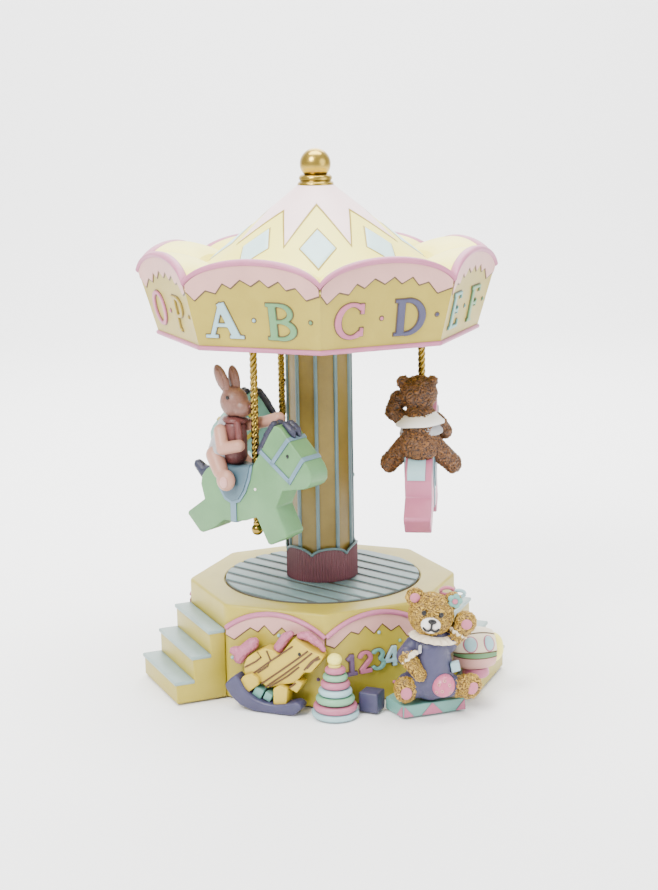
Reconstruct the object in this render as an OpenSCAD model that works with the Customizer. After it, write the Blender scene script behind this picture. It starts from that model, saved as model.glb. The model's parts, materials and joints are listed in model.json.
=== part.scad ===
// Carousel music box: a cast plinth with a wind-up movement inside, which turns a
// planked deck, a column, an eight-sided canopy and three riders on twisted poles.
// Z is up, the deck turns about Z, and the front corner of the plinth points to -Y.

/* [Plinth] */
// Distance from the axis to a corner of the octagonal plinth
plinth_r = 64.5; // [60:0.5:70]
// Height of the top of the plinth above the table
plinth_h = 45.4; // [44:0.1:48]
// Thickness of the felt ring under the plinth
felt_t = 0.8; // [0.5:0.1:1]
// How far the lowest step reaches from the axis
steps_reach = 85; // [83:0.5:86]
// Number of steps in each flight
step_count = 3; // [3:1:4]

/* [Deck and column] */
// Radius of the turning deck
deck_r = 46.9; // [45:0.1:48]
// Height of the deck's walking surface above the table
deck_top = 46.4; // [46:0.1:47]
// Radius of the column between its ribs
column_r = 15.2; // [14:0.1:15.4]
// How far the ribs stand out of the column
rib_h = 0.9; // [0.5:0.1:1]
// Number of ribs round the column
rib_count = 10; // [8:1:12]
// Outer radius of the pleated skirt at the column's foot
skirt_r = 17.2; // [17:0.1:18]
// Height of the skirt's scallops above the table
skirt_top = 63; // [60:0.5:66]

/* [Canopy] */
// Distance from the axis to a lower corner of the canopy
canopy_low_r = 74.9; // [72:0.1:76]
// Distance from the axis to an upper corner of the canopy
canopy_high_r = 82.7; // [80:0.1:84]
// Height of the canopy's lower edge
canopy_low_z = 165.3; // [165:0.1:167]
// Height of the canopy's corners between two arches
valley_z = 196.5; // [194:0.5:198]
// Height of the middle of each arch
arch_z = 206; // [203:0.5:208]
// Radius at which the cone of the roof meets the eight vaults
cone_low_r = 54; // [50:1:56]
// Height of the cone's top, under the finial
cone_top_z = 233; // [231:0.5:234]
// Thickness of the cast canopy
canopy_wall = 3.2; // [3:0.1:4]
// Radius of the ball on top
ball_r = 7.2; // [7:0.1:7.5]
// Overall height of the music box
overall_h = 250; // [249:0.5:251]

/* [Poles and riders] */
// Radius of the circle on which the poles stand
pole_circle_r = 48.7; // [48:0.1:49.5]
// Radius of a twisted pole
pole_r = 1.8; // [1.6:0.1:2]
// Thickness of a carousel animal
animal_t = 12.5; // [11:0.5:13]

/* [Movement] */
// Gear module of the great wheel and the output gear
gear_m = 0.5; // [0.5:0.01:0.52]
// Running clearance of every shaft in its bearing
run_fit = 0.05; // [0.03:0.01:0.08]
// Radius of the pinned cylinder
cyl_r = 6.0; // [5.8:0.1:6.0]
// Number of notes on the comb
note_count = 18; // [12:1:18]

/* [Hidden] */
$fn = 64;

limb_fn = 16;                              // facets round a cast limb
half_face = 22.5;                          // angle from a corner to the middle of a face
step_azimuths = [-67.5, 67.5];
plain_azimuths = [-22.5, 22.5, 112.5, 157.5, 202.5, 247.5];
plinth_apothem = plinth_r * cos(half_face);
plinth_half_face = plinth_r * sin(half_face);

// Inside of the plinth: key recess, ledge, movement chamber and roof
recess_r = 46;
chamber_r = 42;
plate_z = 13;
plate_t = 2;
ledge_z = plate_z + plate_t;
chamber_top = 39.5;
disc_pocket_z = 43.8;
deck_low = 44.1;

// Arch on a plinth face
plinth_valley_z = 33.4;
plinth_arch_z = 42.5;
arch_relief = 1.1;
arch_bead = 0.95;

// Movement layout
bed_z = 17;
bed_t = 1.5;
bed_top = bed_z + bed_t;
out_teeth = 24;
great_teeth = 48;
crown_teeth = 40;
pinion_teeth = 16;
wheel_teeth = 40;
gear_angle = 205;                          // direction from the drive shaft to the barrel
gear_gap = gear_m * (out_teeth + great_teeth) / 2;
barrel_x = gear_gap * cos(gear_angle);
barrel_y = gear_gap * sin(gear_angle);
barrel_h = 5.1;
wheel_z = 24.2;
wheel_t = 1.2;
crown_r = 10;
crown_h = 0.9;
pinion_tip_r = gear_m * pinion_teeth / 2 + 0.4;
mesh_depth = 0.75;
cyl_z = wheel_z + wheel_t + crown_h - mesh_depth + pinion_tip_r;
cyl_start = 7;
cyl_end = 27;
cyl_pin = 0.7;
fine_m = 0.3;
fine_gear_y = 29.6;
fine_gear_t = 1.4;
worm_r = 1.3;
worm_gap = 0.15;
worm_x = barrel_x + fine_m * wheel_teeth / 2 + 0.3 + worm_gap + worm_r;
worm_y = fine_gear_y + fine_gear_t / 2;
shaft_r = 1.5;
arbor_r = 1.6;
cyl_arbor_r = 0.9;
governor_r = 0.7;
post_places = [[-28, -16], [8, -22], [24, 10]];
comb_x = barrel_x + cyl_r + cyl_pin + 0.2;
comb_end_x = 12;
comb_t = 1;

// Column and canopy
plug_r = 12;
plug_top = 54;
ceiling_z = 168;
ceiling_t = 3;
ceiling_r = 71.5;
rod_top = 184;
nut_t = 3;
pole_azimuths = [-38, 82, 202];
pole_low = 77.6;
pole_ball_r = 2.75;
pole_ball_z = 79;
rib_offset = -7;
scallop_offset = 12.6;
scallop_count = 6;
scallop_pitch = 360 / scallop_count;
skirt_columns = 96;
pleat_depth = 0.4;
scallop_valley_z = 58.5;

// ---------- shared shapes ----------

module octagon(r) { circle(r = r, $fn = 8); }

module on_face(azimuth, apothem) {
    rotate([0, 0, azimuth]) translate([0, -apothem, 0]) rotate([90, 0, 0]) children();
}

// Places a shape that is drawn on a pole's axis, with +X along the way of travel
module on_pole(i) {
    rotate([0, 0, pole_azimuths[i]]) translate([0, -pole_circle_r, 0]) children();
}

// A limb with round ends; facets keep these castings light
module capsule(a, b, r) {
    hull() {
        translate(a) sphere(r = r, $fn = limb_fn);
        translate(b) sphere(r = r * 0.99, $fn = limb_fn);
    }
}

module knob(a, r) { capsule(a, a + [0, 0, 0.1], r); }

function polar(r, a) = [r * cos(a), r * sin(a)];

function gear_outline(teeth, m) = [
    for (i = [0:teeth - 1]) let (pitch = 360 / teeth, a = i * pitch, r = m * teeth / 2)
        for (p = [[-0.28, -1.15], [-0.12, 0.9], [0.12, 0.9], [0.28, -1.15]])
            polar(r + p[1] * m, a + p[0] * pitch)
];

module spur_gear(teeth, m, t) { linear_extrude(t) polygon(gear_outline(teeth, m)); }

module cap_screw(length, r, head_r, head_t) {
    cylinder(r = r, h = length, $fn = 24);
    translate([0, 0, -head_t]) difference() {
        cylinder(r = head_r, h = head_t, $fn = 24);
        translate([-head_r, -0.25, -0.1]) cube([2 * head_r, 0.5, 0.6]);
    }
}

// Closed ring through profiles of [distance out, height] at equal steps of azimuth
module shell_of_profiles(profiles) {
    columns = len(profiles);
    rows = len(profiles[0]);
    points = [for (i = [0:columns - 1]) for (p = profiles[i])
        let (a = i * 360 / columns) [p[0] * sin(a), -p[0] * cos(a), p[1]]];
    faces = [for (i = [0:columns - 1]) for (k = [0:rows - 1]) let (
            j = (i + 1) % columns, m = (k + 1) % rows)
        each [[i * rows + k, i * rows + m, j * rows + m], [i * rows + k, j * rows + m, j * rows + k]]];
    polyhedron(points = points, faces = faces, convexity = 8);
}

// Flat outline of a circular arch with sharp valleys, as on every scalloped edge
module arch_band(half_width, low, high, w) {
    rise = high - low;
    r = (half_width * half_width + rise * rise) / (2 * rise);
    intersection() {
        translate([0, high - r]) difference() {
            circle(r = r + w, $fn = 96);
            circle(r = r - w, $fn = 96);
        }
        translate([0.4 - half_width, low - 2 * w]) square([2 * half_width - 0.8, rise + 4 * w]);
    }
}

// ---------- plinth ----------

module base_casting() {
    color("khaki") difference() {
        union() {
            translate([0, 0, felt_t]) linear_extrude(plinth_h - felt_t) octagon(plinth_r);
            for (a = plain_azimuths) on_face(a, plinth_apothem)
                linear_extrude(arch_relief)
                    arch_band(plinth_half_face, plinth_valley_z, plinth_arch_z, arch_bead);
        }
        cylinder(r = recess_r, h = ledge_z);
        cylinder(r = chamber_r, h = chamber_top);
        translate([0, 0, disc_pocket_z]) cylinder(r = deck_r + 0.5, h = 5);
        cylinder(r = 4, h = plinth_h);
        for (a = [45:90:315]) rotate([0, 0, a]) translate([44, 0, 0])
            cylinder(r = 1, h = ledge_z + 6, $fn = 24);
    }
}

module flight(azimuth) {
    run = (steps_reach - plinth_apothem) / step_count;
    rise = (plinth_h - felt_t) / (step_count + 1);
    half_width = plinth_half_face - 0.7;
    color("khaki") on_face(azimuth, plinth_apothem + 0.01)
        translate([-half_width, 0, 0]) rotate([0, 90, 0]) linear_extrude(2 * half_width)
            union() for (i = [0:step_count - 1]) {
                reach = run * (step_count - i) - 1;
                top = felt_t + rise * (i + 1) - 0.6;
                translate([-reach, felt_t]) square([reach, top - felt_t]);
                translate([-reach - 0.9, top - 1.8]) square([reach + 0.9, 1.8]);
            }
}

module left_steps() { flight(step_azimuths[0]); }
module right_steps() { flight(step_azimuths[1]); }

module felt_ring() {
    color("darkolivegreen") linear_extrude(felt_t) difference() {
        octagon(plinth_r - 2);
        circle(r = recess_r + 1);
    }
}

module base_plate() {
    color("dimgray") difference() {
        translate([0, 0, plate_z]) cylinder(r = recess_r - 0.3, h = plate_t);
        translate([barrel_x, barrel_y, 0]) cylinder(r = arbor_r + run_fit, h = 30);
        for (a = [45:90:315]) rotate([0, 0, a]) translate([44, 0, 0])
            cylinder(r = 1, h = 30, $fn = 24);
        for (p = post_places) translate([p[0], p[1], 0]) cylinder(r = 1, h = 30, $fn = 24);
    }
}

module base_plate_screws() {
    color("silver") for (a = [45:90:315]) rotate([0, 0, a])
        translate([44, 0, plate_z]) cap_screw(7.5, 1, 1.8, 1.2);
}

// ---------- movement ----------

module bedplate() {
    color("silver") difference() {
        translate([0, 0, bed_z]) linear_extrude(bed_t) intersection() {
            translate([-34, -27]) square([64, 62]);
            circle(r = chamber_r - 1);
        }
        cylinder(r = shaft_r + run_fit, h = 30);
        translate([barrel_x, barrel_y, 0]) cylinder(r = arbor_r + run_fit, h = 30);
        for (p = post_places) translate([p[0], p[1], 0]) cylinder(r = 1, h = 30, $fn = 24);
    }
}

module movement_spacers() {
    color("silver") for (p = post_places) translate([p[0], p[1], ledge_z]) difference() {
        cylinder(r = 2.5, h = bed_z - ledge_z, $fn = 32);
        cylinder(r = 1, h = 10, $fn = 24);
    }
}

module movement_screws() {
    color("silver") for (p = post_places)
        translate([p[0], p[1], plate_z]) cap_screw(bed_top - plate_z, 1, 1.8, 1.2);
}

module spring_barrel() {
    wall = 0.8;
    lid = 0.6;
    r = 11.2;
    bore = arbor_r + run_fit;
    color("gainsboro") translate([barrel_x, barrel_y, bed_top]) rotate_extrude($fn = 96)
        polygon([[bore, 0], [r, 0], [r, barrel_h], [bore, barrel_h], [bore, barrel_h - lid],
                 [r - wall, barrel_h - lid], [r - wall, lid], [bore, lid]]);
}

module mainspring() {
    turns = 5;
    per_turn = 20;
    low = 2.4;
    high = 9.6;
    strip = 0.4;
    last = turns * per_turn;
    function coil(i) = low + (high - low) * i / last;
    color("steelblue") translate([barrel_x, barrel_y, bed_top + 1]) linear_extrude(barrel_h - 2)
        polygon(concat([for (i = [0:last]) polar(coil(i), 360 * i / per_turn)],
                       [for (i = [last:-1:0]) polar(coil(i) + strip, 360 * i / per_turn)]));
}

module winding_arbor() {
    color("silver") translate([barrel_x, barrel_y, 4]) cylinder(r = arbor_r, h = 22.4);
}

module winding_key() {
    wing_x = 5.6;
    wing_r = 4.2;
    wing_t = 1.4;
    hub_top = 11.4;
    color("goldenrod") translate([barrel_x, barrel_y, 0]) difference() {
        union() {
            translate([0, 0, 3.4]) cylinder(r = 2.8, h = hub_top - 3.4);
            translate([0, wing_t / 2, 6.6]) rotate([90, 0, 0]) linear_extrude(wing_t)
                for (side = [-1, 1]) difference() {
                    translate([side * wing_x, 0]) circle(r = wing_r, $fn = 48);
                    translate([side * wing_x, 0]) circle(r = 2.1, $fn = 32);
                }
        }
        translate([0, 0, 4]) cylinder(r = arbor_r, h = 20);
    }
}

module great_wheel() {
    color("gold") translate([barrel_x, barrel_y, wheel_z]) difference() {
        union() {
            rotate([0, 0, gear_angle + 180]) spur_gear(great_teeth, gear_m, wheel_t);
            for (i = [0:crown_teeth - 1]) rotate([0, 0, 90 + (i + 0.5) * 360 / crown_teeth])
                translate([crown_r - 0.8, -0.27, wheel_t - 0.1]) cube([1.6, 0.54, crown_h + 0.1]);
        }
        cylinder(r = arbor_r, h = 30, center = true);
    }
}

module output_gear() {
    color("gold") translate([0, 0, wheel_z]) difference() {
        union() {
            rotate([0, 0, gear_angle + 180 / out_teeth]) spur_gear(out_teeth, gear_m, wheel_t);
            cylinder(r = 3.2, h = 3);
        }
        cylinder(r = shaft_r, h = 30, center = true);
    }
}

module along_cylinder(y) { translate([barrel_x, y, cyl_z]) rotate([-90, 0, 0]) children(); }

module cylinder_arbor() {
    pinion_w = 1.2;
    color("silver") {
        along_cylinder(barrel_y + crown_r - pinion_w / 2)
            rotate([0, 0, 90]) spur_gear(pinion_teeth, gear_m * 0.96, pinion_w);
        along_cylinder(barrel_y + crown_r - pinion_w / 2) cylinder(r = cyl_arbor_r, h = 32.6);
    }
}

module pinned_cylinder() {
    rows = 14;
    pitch = (cyl_end - cyl_start - 2) / (note_count - 1);
    color("gold") difference() {
        union() {
            along_cylinder(cyl_start) cylinder(r = cyl_r, h = cyl_end - cyl_start);
            for (n = [0:note_count - 1]) for (k = [0:2]) along_cylinder(cyl_start + 1 + n * pitch)
                rotate([0, 0, ((n * 5 + k * 9) % rows) * 360 / rows])
                    translate([cyl_r - 0.3, -0.15, -0.15]) cube([cyl_pin + 0.3, 0.3, 0.3]);
        }
        along_cylinder(0) cylinder(r = cyl_arbor_r, h = 60);
    }
}

module cylinder_gear() {
    color("gold") difference() {
        along_cylinder(fine_gear_y) spur_gear(wheel_teeth, fine_m, fine_gear_t);
        along_cylinder(0) cylinder(r = cyl_arbor_r, h = 60);
    }
}

module cylinder_bracket() {
    half = 4.5;
    color("silver") difference() {
        union() {
            for (y = [5.3, 32]) translate([barrel_x - half, y, bed_top])
                cube([2 * half, 1, cyl_z - bed_top + 3]);
            translate([barrel_x - half, 5.3, bed_top]) cube([2 * half, 27.7, 0.8]);
        }
        along_cylinder(0) cylinder(r = cyl_arbor_r + run_fit, h = 60);
    }
}

module comb() {
    length = cyl_end - cyl_start - 0.6;
    pitch = length / note_count;
    color("lightsteelblue") difference() {
        translate([comb_x, cyl_start + 0.3, cyl_z])
            cube([comb_end_x - comb_x, length, comb_t]);
        for (n = [1:note_count - 1])
            translate([comb_x - 1, cyl_start + 0.3 + n * pitch - 0.17, cyl_z - 1])
                cube([13 + 0.25 * n, 0.34, comb_t + 2]);
        for (y = [11, 23]) translate([comb_end_x - 3, y, cyl_z - 1]) cylinder(r = 1, h = 5, $fn = 24);
    }
}

module comb_block() {
    color("darkgray") difference() {
        translate([comb_end_x - 6, cyl_start, bed_top]) cube([6, cyl_end - cyl_start, cyl_z - bed_top]);
        for (y = [11, 23]) translate([comb_end_x - 3, y, cyl_z - 5]) cylinder(r = 1, h = 6, $fn = 24);
    }
}

module comb_screws() {
    color("silver") for (y = [11, 23]) translate([comb_end_x - 3, y, cyl_z + comb_t])
        rotate([180, 0, 0]) cap_screw(5.5, 1, 1.9, 1.2);
}

module governor_bracket() {
    arm_z = cyl_z + 3.1;
    color("silver") difference() {
        union() {
            translate([worm_x + 4.5, worm_y - 1.5, bed_top]) cube([3, 3, arm_z + 0.9 - bed_top]);
            translate([worm_x - 1.3, worm_y - 1.3, arm_z]) cube([6.5, 2.6, 0.9]);
            translate([worm_x, worm_y, bed_top]) cylinder(r = 1.8, h = 2.5, $fn = 32);
            translate([worm_x, worm_y - 1, bed_top]) cube([5, 2, 0.8]);
        }
        translate([worm_x, worm_y, bed_top + 0.5])
            cylinder(r = governor_r + run_fit, h = 30, $fn = 32);
    }
}

module governor_worm() {
    thread_low = cyl_z - 2.5;
    threads = 5;
    color("silver") translate([worm_x, worm_y, 0]) {
        translate([0, 0, bed_top + 0.6]) cylinder(r = governor_r, h = 20, $fn = 32);
        translate([0, 0, thread_low]) cylinder(r = worm_r - 0.35, h = threads, $fn = 32);
        for (i = [0:threads - 1]) translate([0, 0, thread_low + 0.25 + i])
            cylinder(r = worm_r, h = 0.5, $fn = 32);
    }
}

module governor_fly() {
    fly_r = 3.1;
    fly_z = cyl_z + 4.8;
    color("whitesmoke") translate([worm_x, worm_y, fly_z]) difference() {
        union() {
            cylinder(r = 1.3, h = 3, $fn = 32);
            translate([-fly_r, -0.3, 0]) cube([2 * fly_r, 0.6, 3]);
        }
        cylinder(r = governor_r, h = 30, center = true, $fn = 32);
    }
}

module shaft_bush() {
    flange_t = 0.25;
    color("gold") difference() {
        union() {
            translate([0, 0, chamber_top - 1]) cylinder(r = 4, h = disc_pocket_z - chamber_top + 1);
            translate([0, 0, disc_pocket_z]) cylinder(r = 6, h = flange_t);
        }
        cylinder(r = shaft_r + run_fit, h = 60);
    }
}

// ---------- turning deck, column ----------

module drive_shaft() {
    color("silver") translate([0, 0, bed_z + 0.5]) cylinder(r = shaft_r, h = plug_top - 3 - bed_z);
}

module turntable_disc() {
    color("lightslategray") difference() {
        translate([0, 0, deck_low]) cylinder(r = deck_r, h = deck_top - deck_low, $fn = 128);
        cylinder(r = shaft_r, h = 60);
    }
}

module column_plug() {
    color("burlywood") difference() {
        translate([0, 0, deck_top]) cylinder(r = plug_r, h = plug_top - deck_top);
        cylinder(r = shaft_r, h = 80);
    }
}

module column() {
    color("goldenrod") translate([0, 0, deck_top]) linear_extrude(ceiling_z - deck_top) difference() {
        union() {
            circle(r = column_r);
            for (i = [0:rib_count - 1]) rotate([0, 0, rib_offset + i * 360 / rib_count])
                translate([-1, -column_r - rib_h]) square([2, 3]);
        }
        circle(r = plug_r);
    }
}

// Height of the skirt's top edge along azimuth a
function scallop_z(a) = let (u = 2 * (((a - scallop_offset) / scallop_pitch + 1.5) % 1) - 1)
    scallop_valley_z + (skirt_top - scallop_valley_z) * sqrt(1 - 0.9 * u * u);

module column_skirt() {
    bore = column_r + rib_h + 0.1;
    color("rosybrown") shell_of_profiles([for (i = [0:skirt_columns - 1])
        let (a = i * 360 / skirt_columns, top = scallop_z(a), r = skirt_r - (i % 2) * pleat_depth)
            [[r, deck_top], [r - 0.3, top], [bore, top], [bore, deck_top]]]);
}

module tie_rod() {
    color("silver") translate([0, 0, plug_top - 2.5]) cylinder(r = shaft_r, h = rod_top - plug_top + 2.5);
}

module canopy_nut() {
    color("silver") translate([0, 0, ceiling_z + ceiling_t]) difference() {
        cylinder(r = 3.2, h = nut_t, $fn = 6);
        cylinder(r = shaft_r, h = 20, center = true);
    }
}

module canopy_ceiling() {
    color("khaki") difference() {
        translate([0, 0, ceiling_z]) linear_extrude(ceiling_t) octagon(ceiling_r);
        cylinder(r = shaft_r, h = 300);
        for (i = [0:2]) on_pole(i) cylinder(r = pole_r, h = ceiling_z + ceiling_t - 0.5);
    }
}

// ---------- canopy ----------

// Share of the way across a face, -1 at one corner and 1 at the next
function across(a) = tan((a % 45) - half_face) / tan(half_face);
// Distance to the side of an octagon, whose corner is at distance r, along azimuth a
function octagon_r(r, a) = r * cos(half_face) / cos((a % 45) - half_face);
// Height of the arched rim above its valleys, as a share of its rise
function arch_share(a) = let (u = across(a), k = 0.30)
    (sqrt(1 - u * u * (1 - k * k)) - k) / (1 - k);

// Distance out and height of the bead that runs along the arched rim
bead_rows = [[0.9, -4.3], [2.0, -3.4], [2.4, -1.9], [1.9, -0.6], [0.6, 0]];
vault_steps = 5;

function side_point(a, s) = let (top = valley_z + (arch_z - valley_z) * arch_share(a) - 4.6)
    [octagon_r(canopy_low_r + (canopy_high_r - canopy_low_r) * s, a),
     canopy_low_z + (top - canopy_low_z) * s];
function bead_point(a, b) =
    [octagon_r(canopy_high_r, a) + b[0], valley_z + (arch_z - valley_z) * arch_share(a) + b[1]];
function vault_point(a, s) = let (
        rim = bead_point(a, [0, 0]),
        bulge = sqrt(1 - s * s),
        rise = rim[1] - valley_z)
    [rim[0] + (cone_low_r - rim[0]) * s, valley_z + rise * bulge - 0.5 * s];

function outer_profile(a) = concat(
    [for (s = [0, 0.33, 0.66, 1]) side_point(a, s)],
    [for (b = bead_rows) bead_point(a, b)],
    [for (i = [1:vault_steps]) vault_point(a, i / vault_steps)]);
function inner_profile(a) = let (w = canopy_wall, low = side_point(a, 0), high = bead_point(a, [0, 0]))
    [[cone_low_r, valley_z - 1.6 * w], [high[0] - 1.6 * w, high[1] - 2.2 * w], [low[0] - w, low[1]]];
function canopy_profile(a) = concat(outer_profile(a), inner_profile(a));

canopy_step = 3.75;
canopy_columns = 360 / canopy_step;

// Frieze, arched rim and vaults
module canopy_shell() {
    color("khaki") shell_of_profiles([for (i = [0:canopy_columns - 1]) canopy_profile(i * canopy_step)]);
}

// Cone that closes the canopy; its foot stands inside the ring of vaults
module canopy_roof() {
    foot_r = cone_low_r - 0.05;
    color("mistyrose") rotate_extrude()
        polygon([[foot_r, valley_z - 0.5], [8, cone_top_z], [2.2, cone_top_z], [2.2, cone_top_z - 2 * canopy_wall],
                 [8, cone_top_z - 1.6 * canopy_wall], [foot_r - 2, valley_z - 1.6 * canopy_wall],
                 [foot_r, valley_z - 1.6 * canopy_wall]]);
}

module finial_collar() {
    color("gold") difference() {
        translate([0, 0, cone_top_z]) rotate_extrude()
            polygon([[2.2, 0], [7.9, 0], [7.9, 1.6], [7.2, 1.9], [7.2, 2.6], [6.0, 3.2], [2.2, 3.2]]);
    }
}

module finial_ball() {
    color("gold") difference() {
        union() {
            translate([0, 0, overall_h - ball_r]) sphere(r = ball_r);
            translate([0, 0, cone_top_z - 7]) cylinder(r = 2.2, h = 12);
        }
        translate([0, 0, cone_top_z - 8]) difference() {
            cylinder(r = 12, h = 11.2);
            cylinder(r = 2.2, h = 30, center = true);
        }
    }
}

// ---------- poles ----------

module pole(i) {
    color("gold") on_pole(i) translate([0, 0, pole_low])
        cylinder(r = pole_r, h = ceiling_z + ceiling_t - 0.5 - pole_low);
}

module pole_ball(i) {
    color("gold") on_pole(i) difference() {
        translate([0, 0, pole_ball_z]) sphere(r = pole_ball_r);
        translate([0, 0, pole_low]) cylinder(r = pole_r, h = 20);
    }
}

module pole_1() { pole(0); }
module pole_2() { pole(1); }
module pole_3() { pole(2); }
module pole_ball_1() { pole_ball(0); }
module pole_ball_2() { pole_ball(1); }
module pole_ball_3() { pole_ball(2); }

// ---------- riders and their animals ----------

// Side outline of a flat toy horse, drawn with the pole at x = 0
module horse_outline() {
    polygon([[18, 130.3], [24.5, 124], [31, 117.5], [36, 112], [36.3, 107], [33.5, 103.3], [20, 100.8],
             [16.1, 92.8], [22.2, 80], [11.5, 74.2], [4.6, 86.5], [-2, 84], [-8, 82.8], [-14.8, 82.6],
             [-21.3, 77.7], [-29, 74.7], [-37, 83.1], [-26.4, 91.1], [-28.4, 98.2], [-25, 105],
             [-18, 108.8], [-8, 107.4], [2.8, 110], [8, 117.7], [13, 126]]);
}

module horse_body(t) {
    translate([0, t / 2, 0]) rotate([90, 0, 0]) linear_extrude(t) horse_outline();
}

// Mane behind the head, forelock in front of the ears and tail
module horse_hair() {
    hair_t = animal_t * 0.62;
    translate([0, hair_t / 2, 0]) rotate([90, 0, 0]) linear_extrude(hair_t) {
        polygon([[5, 114.5], [11, 124], [15, 131], [19, 132], [25, 125.5], [20, 122], [10, 114]]);
        polygon([[-26, 103.5], [-30, 105.5], [-33, 108], [-36.5, 106.5], [-34.5, 100.5], [-30, 97.5],
                 [-26, 97]]);
    }
}

module horse(i) {
    on_pole(i) difference() {
        union() {
            horse_body(animal_t);
            horse_hair();
        }
        cylinder(r = pole_r, h = 150);
        translate([0, 0, pole_ball_z]) sphere(r = pole_ball_r + 0.1);
    }
}

module green_horse() { color("darkseagreen") horse(0); }
module pink_horse() { color("pink") horse(1); }
module teal_horse() { color("cadetblue") horse(2); }

// Seated rider: hips, trunk, head, arms and legs astride, less the animal and the pole
module seated(i, head_r, head_z, trunk_r, arm_r, leg_r) {
    head_x = -10.5;
    hip_x = -15.5;
    side = animal_t / 2 + leg_r - 0.6;
    on_pole(i) difference() {
        union() {
            knob([head_x, 0, head_z], head_r);
            capsule([hip_x, 0, 114], [hip_x + 2.5, 0, 124.5], trunk_r);
            for (s = [-1, 1]) {
                capsule([hip_x - 1, s * 5, 112.5], [-9, s * side, 102], leg_r);
                capsule([-9, s * side, 102], [-5.5, s * side, 102.6], leg_r * 0.9);
            }
            capsule([hip_x + 1.5, -6, 124.5], [hip_x + 4, -8, 117], arm_r);
            capsule([hip_x + 4, -8, 117], [-4, -5.5, 118], arm_r);
            capsule([hip_x + 3, 6, 125], [-3.5, 5.5, 129.5], arm_r);
            children();
        }
        horse_body(animal_t);
        horse_hair();
        cylinder(r = pole_r, h = 180);
    }
}

module rabbit_rider() {
    color("lightsalmon") seated(0, 7.2, 137, 6.8, 2.6, 3) {
        capsule([-13, -2.6, 142], [-20, -3.4, 152], 2.2);
        capsule([-12, 2.6, 142], [-15, 3.4, 152], 2.2);
        capsule([-8, 0, 136.5], [-5, 0, 136.8], 3);
        knob([-24.5, 0, 112.3], 2.8);
    }
}

module bear_rider() {
    color("saddlebrown") seated(1, 8.6, 135, 8.2, 3, 3.6) {
        for (s = [-1, 1]) knob([-11, s * 6.5, 141.4], 3.1);
        capsule([-6, 0, 133.5], [-4, 0, 133.5], 3.4);
        capsule([-12, 8, 125], [-10, 11.5, 131], 2.8);
        knob([-24.5, 0, 112], 2.2);
    }
}

module puppy_rider() {
    color("white") seated(2, 7.8, 134.5, 7.2, 2.8, 3.2) {
        for (s = [-1, 1]) capsule([-12, s * 6.5, 138.5], [-13.5, s * 8.2, 131.5], 2.2);
        capsule([-6, 0, 132.5], [-3.8, 0, 132.3], 3.3);
        capsule([-23, 0, 111.5], [-27.5, 0, 115.5], 1.5);
    }
}

// ---------- toys in front of the plinth ----------

module clear_of_plinth() {
    difference() {
        children();
        linear_extrude(plinth_h) octagon(plinth_r + 0.02);
    }
}

toy_face = -22.5;
bow_in = 4.5;
bow_out = 12.5;
horse_in = 1.3;
horse_out = 10;

module rocker_bow() {
    color("darkslateblue") clear_of_plinth() on_face(toy_face, plinth_apothem)
        translate([0, 0, bow_in]) linear_extrude(bow_out - bow_in) polygon([
            [-14.4, 16.8], [-20.4, 11.6], [-17.6, 6.7], [-13, 2.4], [-6, 0.9], [2, 0.9],
            [13.5, 0.9], [17.2, 4.6], [14.5, 6.8], [4, 4.6], [-5, 6], [-11, 11]]);
}

module rocking_horse() {
    color("khaki") clear_of_plinth() on_face(toy_face, plinth_apothem) difference() {
        translate([0, 0, horse_in]) linear_extrude(horse_out - horse_in) union() {
            polygon([[12.7, 35.8], [15.7, 33.8], [21, 30.4], [26.1, 29], [25.7, 27.3], [20.9, 20.5],
                     [16.8, 20], [14.3, 16.1], [13, 13.6], [10, 12.2], [9.2, 4], [3, 4], [3, 11],
                     [-0.7, 10.7], [-4.4, 13.6], [-10.5, 8.5], [-14.2, 12.5], [-12, 16.1],
                     [-12.2, 20.1], [-7.2, 26.7], [-1.5, 30], [1.9, 29], [5.6, 25.7]]);
            polygon([[-12, 19], [-16.4, 20.7], [-19.8, 26], [-12, 31.5], [-7.7, 32.3], [-6, 29]]);
            polygon([[3.2, 27.1], [9.6, 36.8], [13, 37.6], [24.1, 32.7], [20, 29], [10, 29]]);
        }
        translate([0, 0, bow_in - 0.02]) linear_extrude(bow_out) polygon([
            [-14.4, 16.8], [-20.4, 11.6], [-17.6, 6.7], [-13, 0.9], [13.5, 0.9],
            [17.2, 4.6], [14.5, 6.8], [4, 4.6], [-5, 6], [-11, 11]]);
    }
}

ring_x = 3.8;
ring_y = -71.2;
rings = [[10.6, 2.4], [9.7, 5.4], [8.4, 8.8], [7.4, 12.4], [6.3, 15.8], [5.2, 19.2], [4.3, 22.6]];

module ring_stack() {
    color("lightpink") clear_of_plinth() translate([ring_x, ring_y, 0]) {
        translate([0, 0, 0.8]) cylinder(r = 10.6, h = 1.6);
        for (ring = rings) translate([0, 0, ring[1]]) rotate_extrude()
            polygon([[0, -1.6], [ring[0] - 1, -1.6], [ring[0], -0.6], [ring[0], 0.6],
                     [ring[0] - 1, 1.6], [0, 1.6]]);
        cylinder(r = 2.4, h = 26);
        translate([0, 0, 27.2]) sphere(r = 3.2);
    }
}

module toy_block() {
    side = 9.2;
    color("darkslateblue") clear_of_plinth() translate([22.6, -72.6, 0.8]) rotate([0, 0, 64])
        cube([side, side, side]);
}

plinth_front = [34, -78.5];
bear_plinth_t = 5.6;

module bear_plinth() {
    color("paleturquoise") clear_of_plinth() translate([plinth_front[0], plinth_front[1], 0.8])
        linear_extrude(bear_plinth_t)
            polygon([[0, 0], [29, 9.6], [20, 27], [3, 27], [-7.2, 12.8]]);
}

ball_x = 51.8;
ball_y = -78.4;
ball_z = 16;
toy_ball_r = 5.4;

module toy_ball() {
    color("pink") translate([ball_x, ball_y, ball_z]) sphere(r = toy_ball_r);
}

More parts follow.
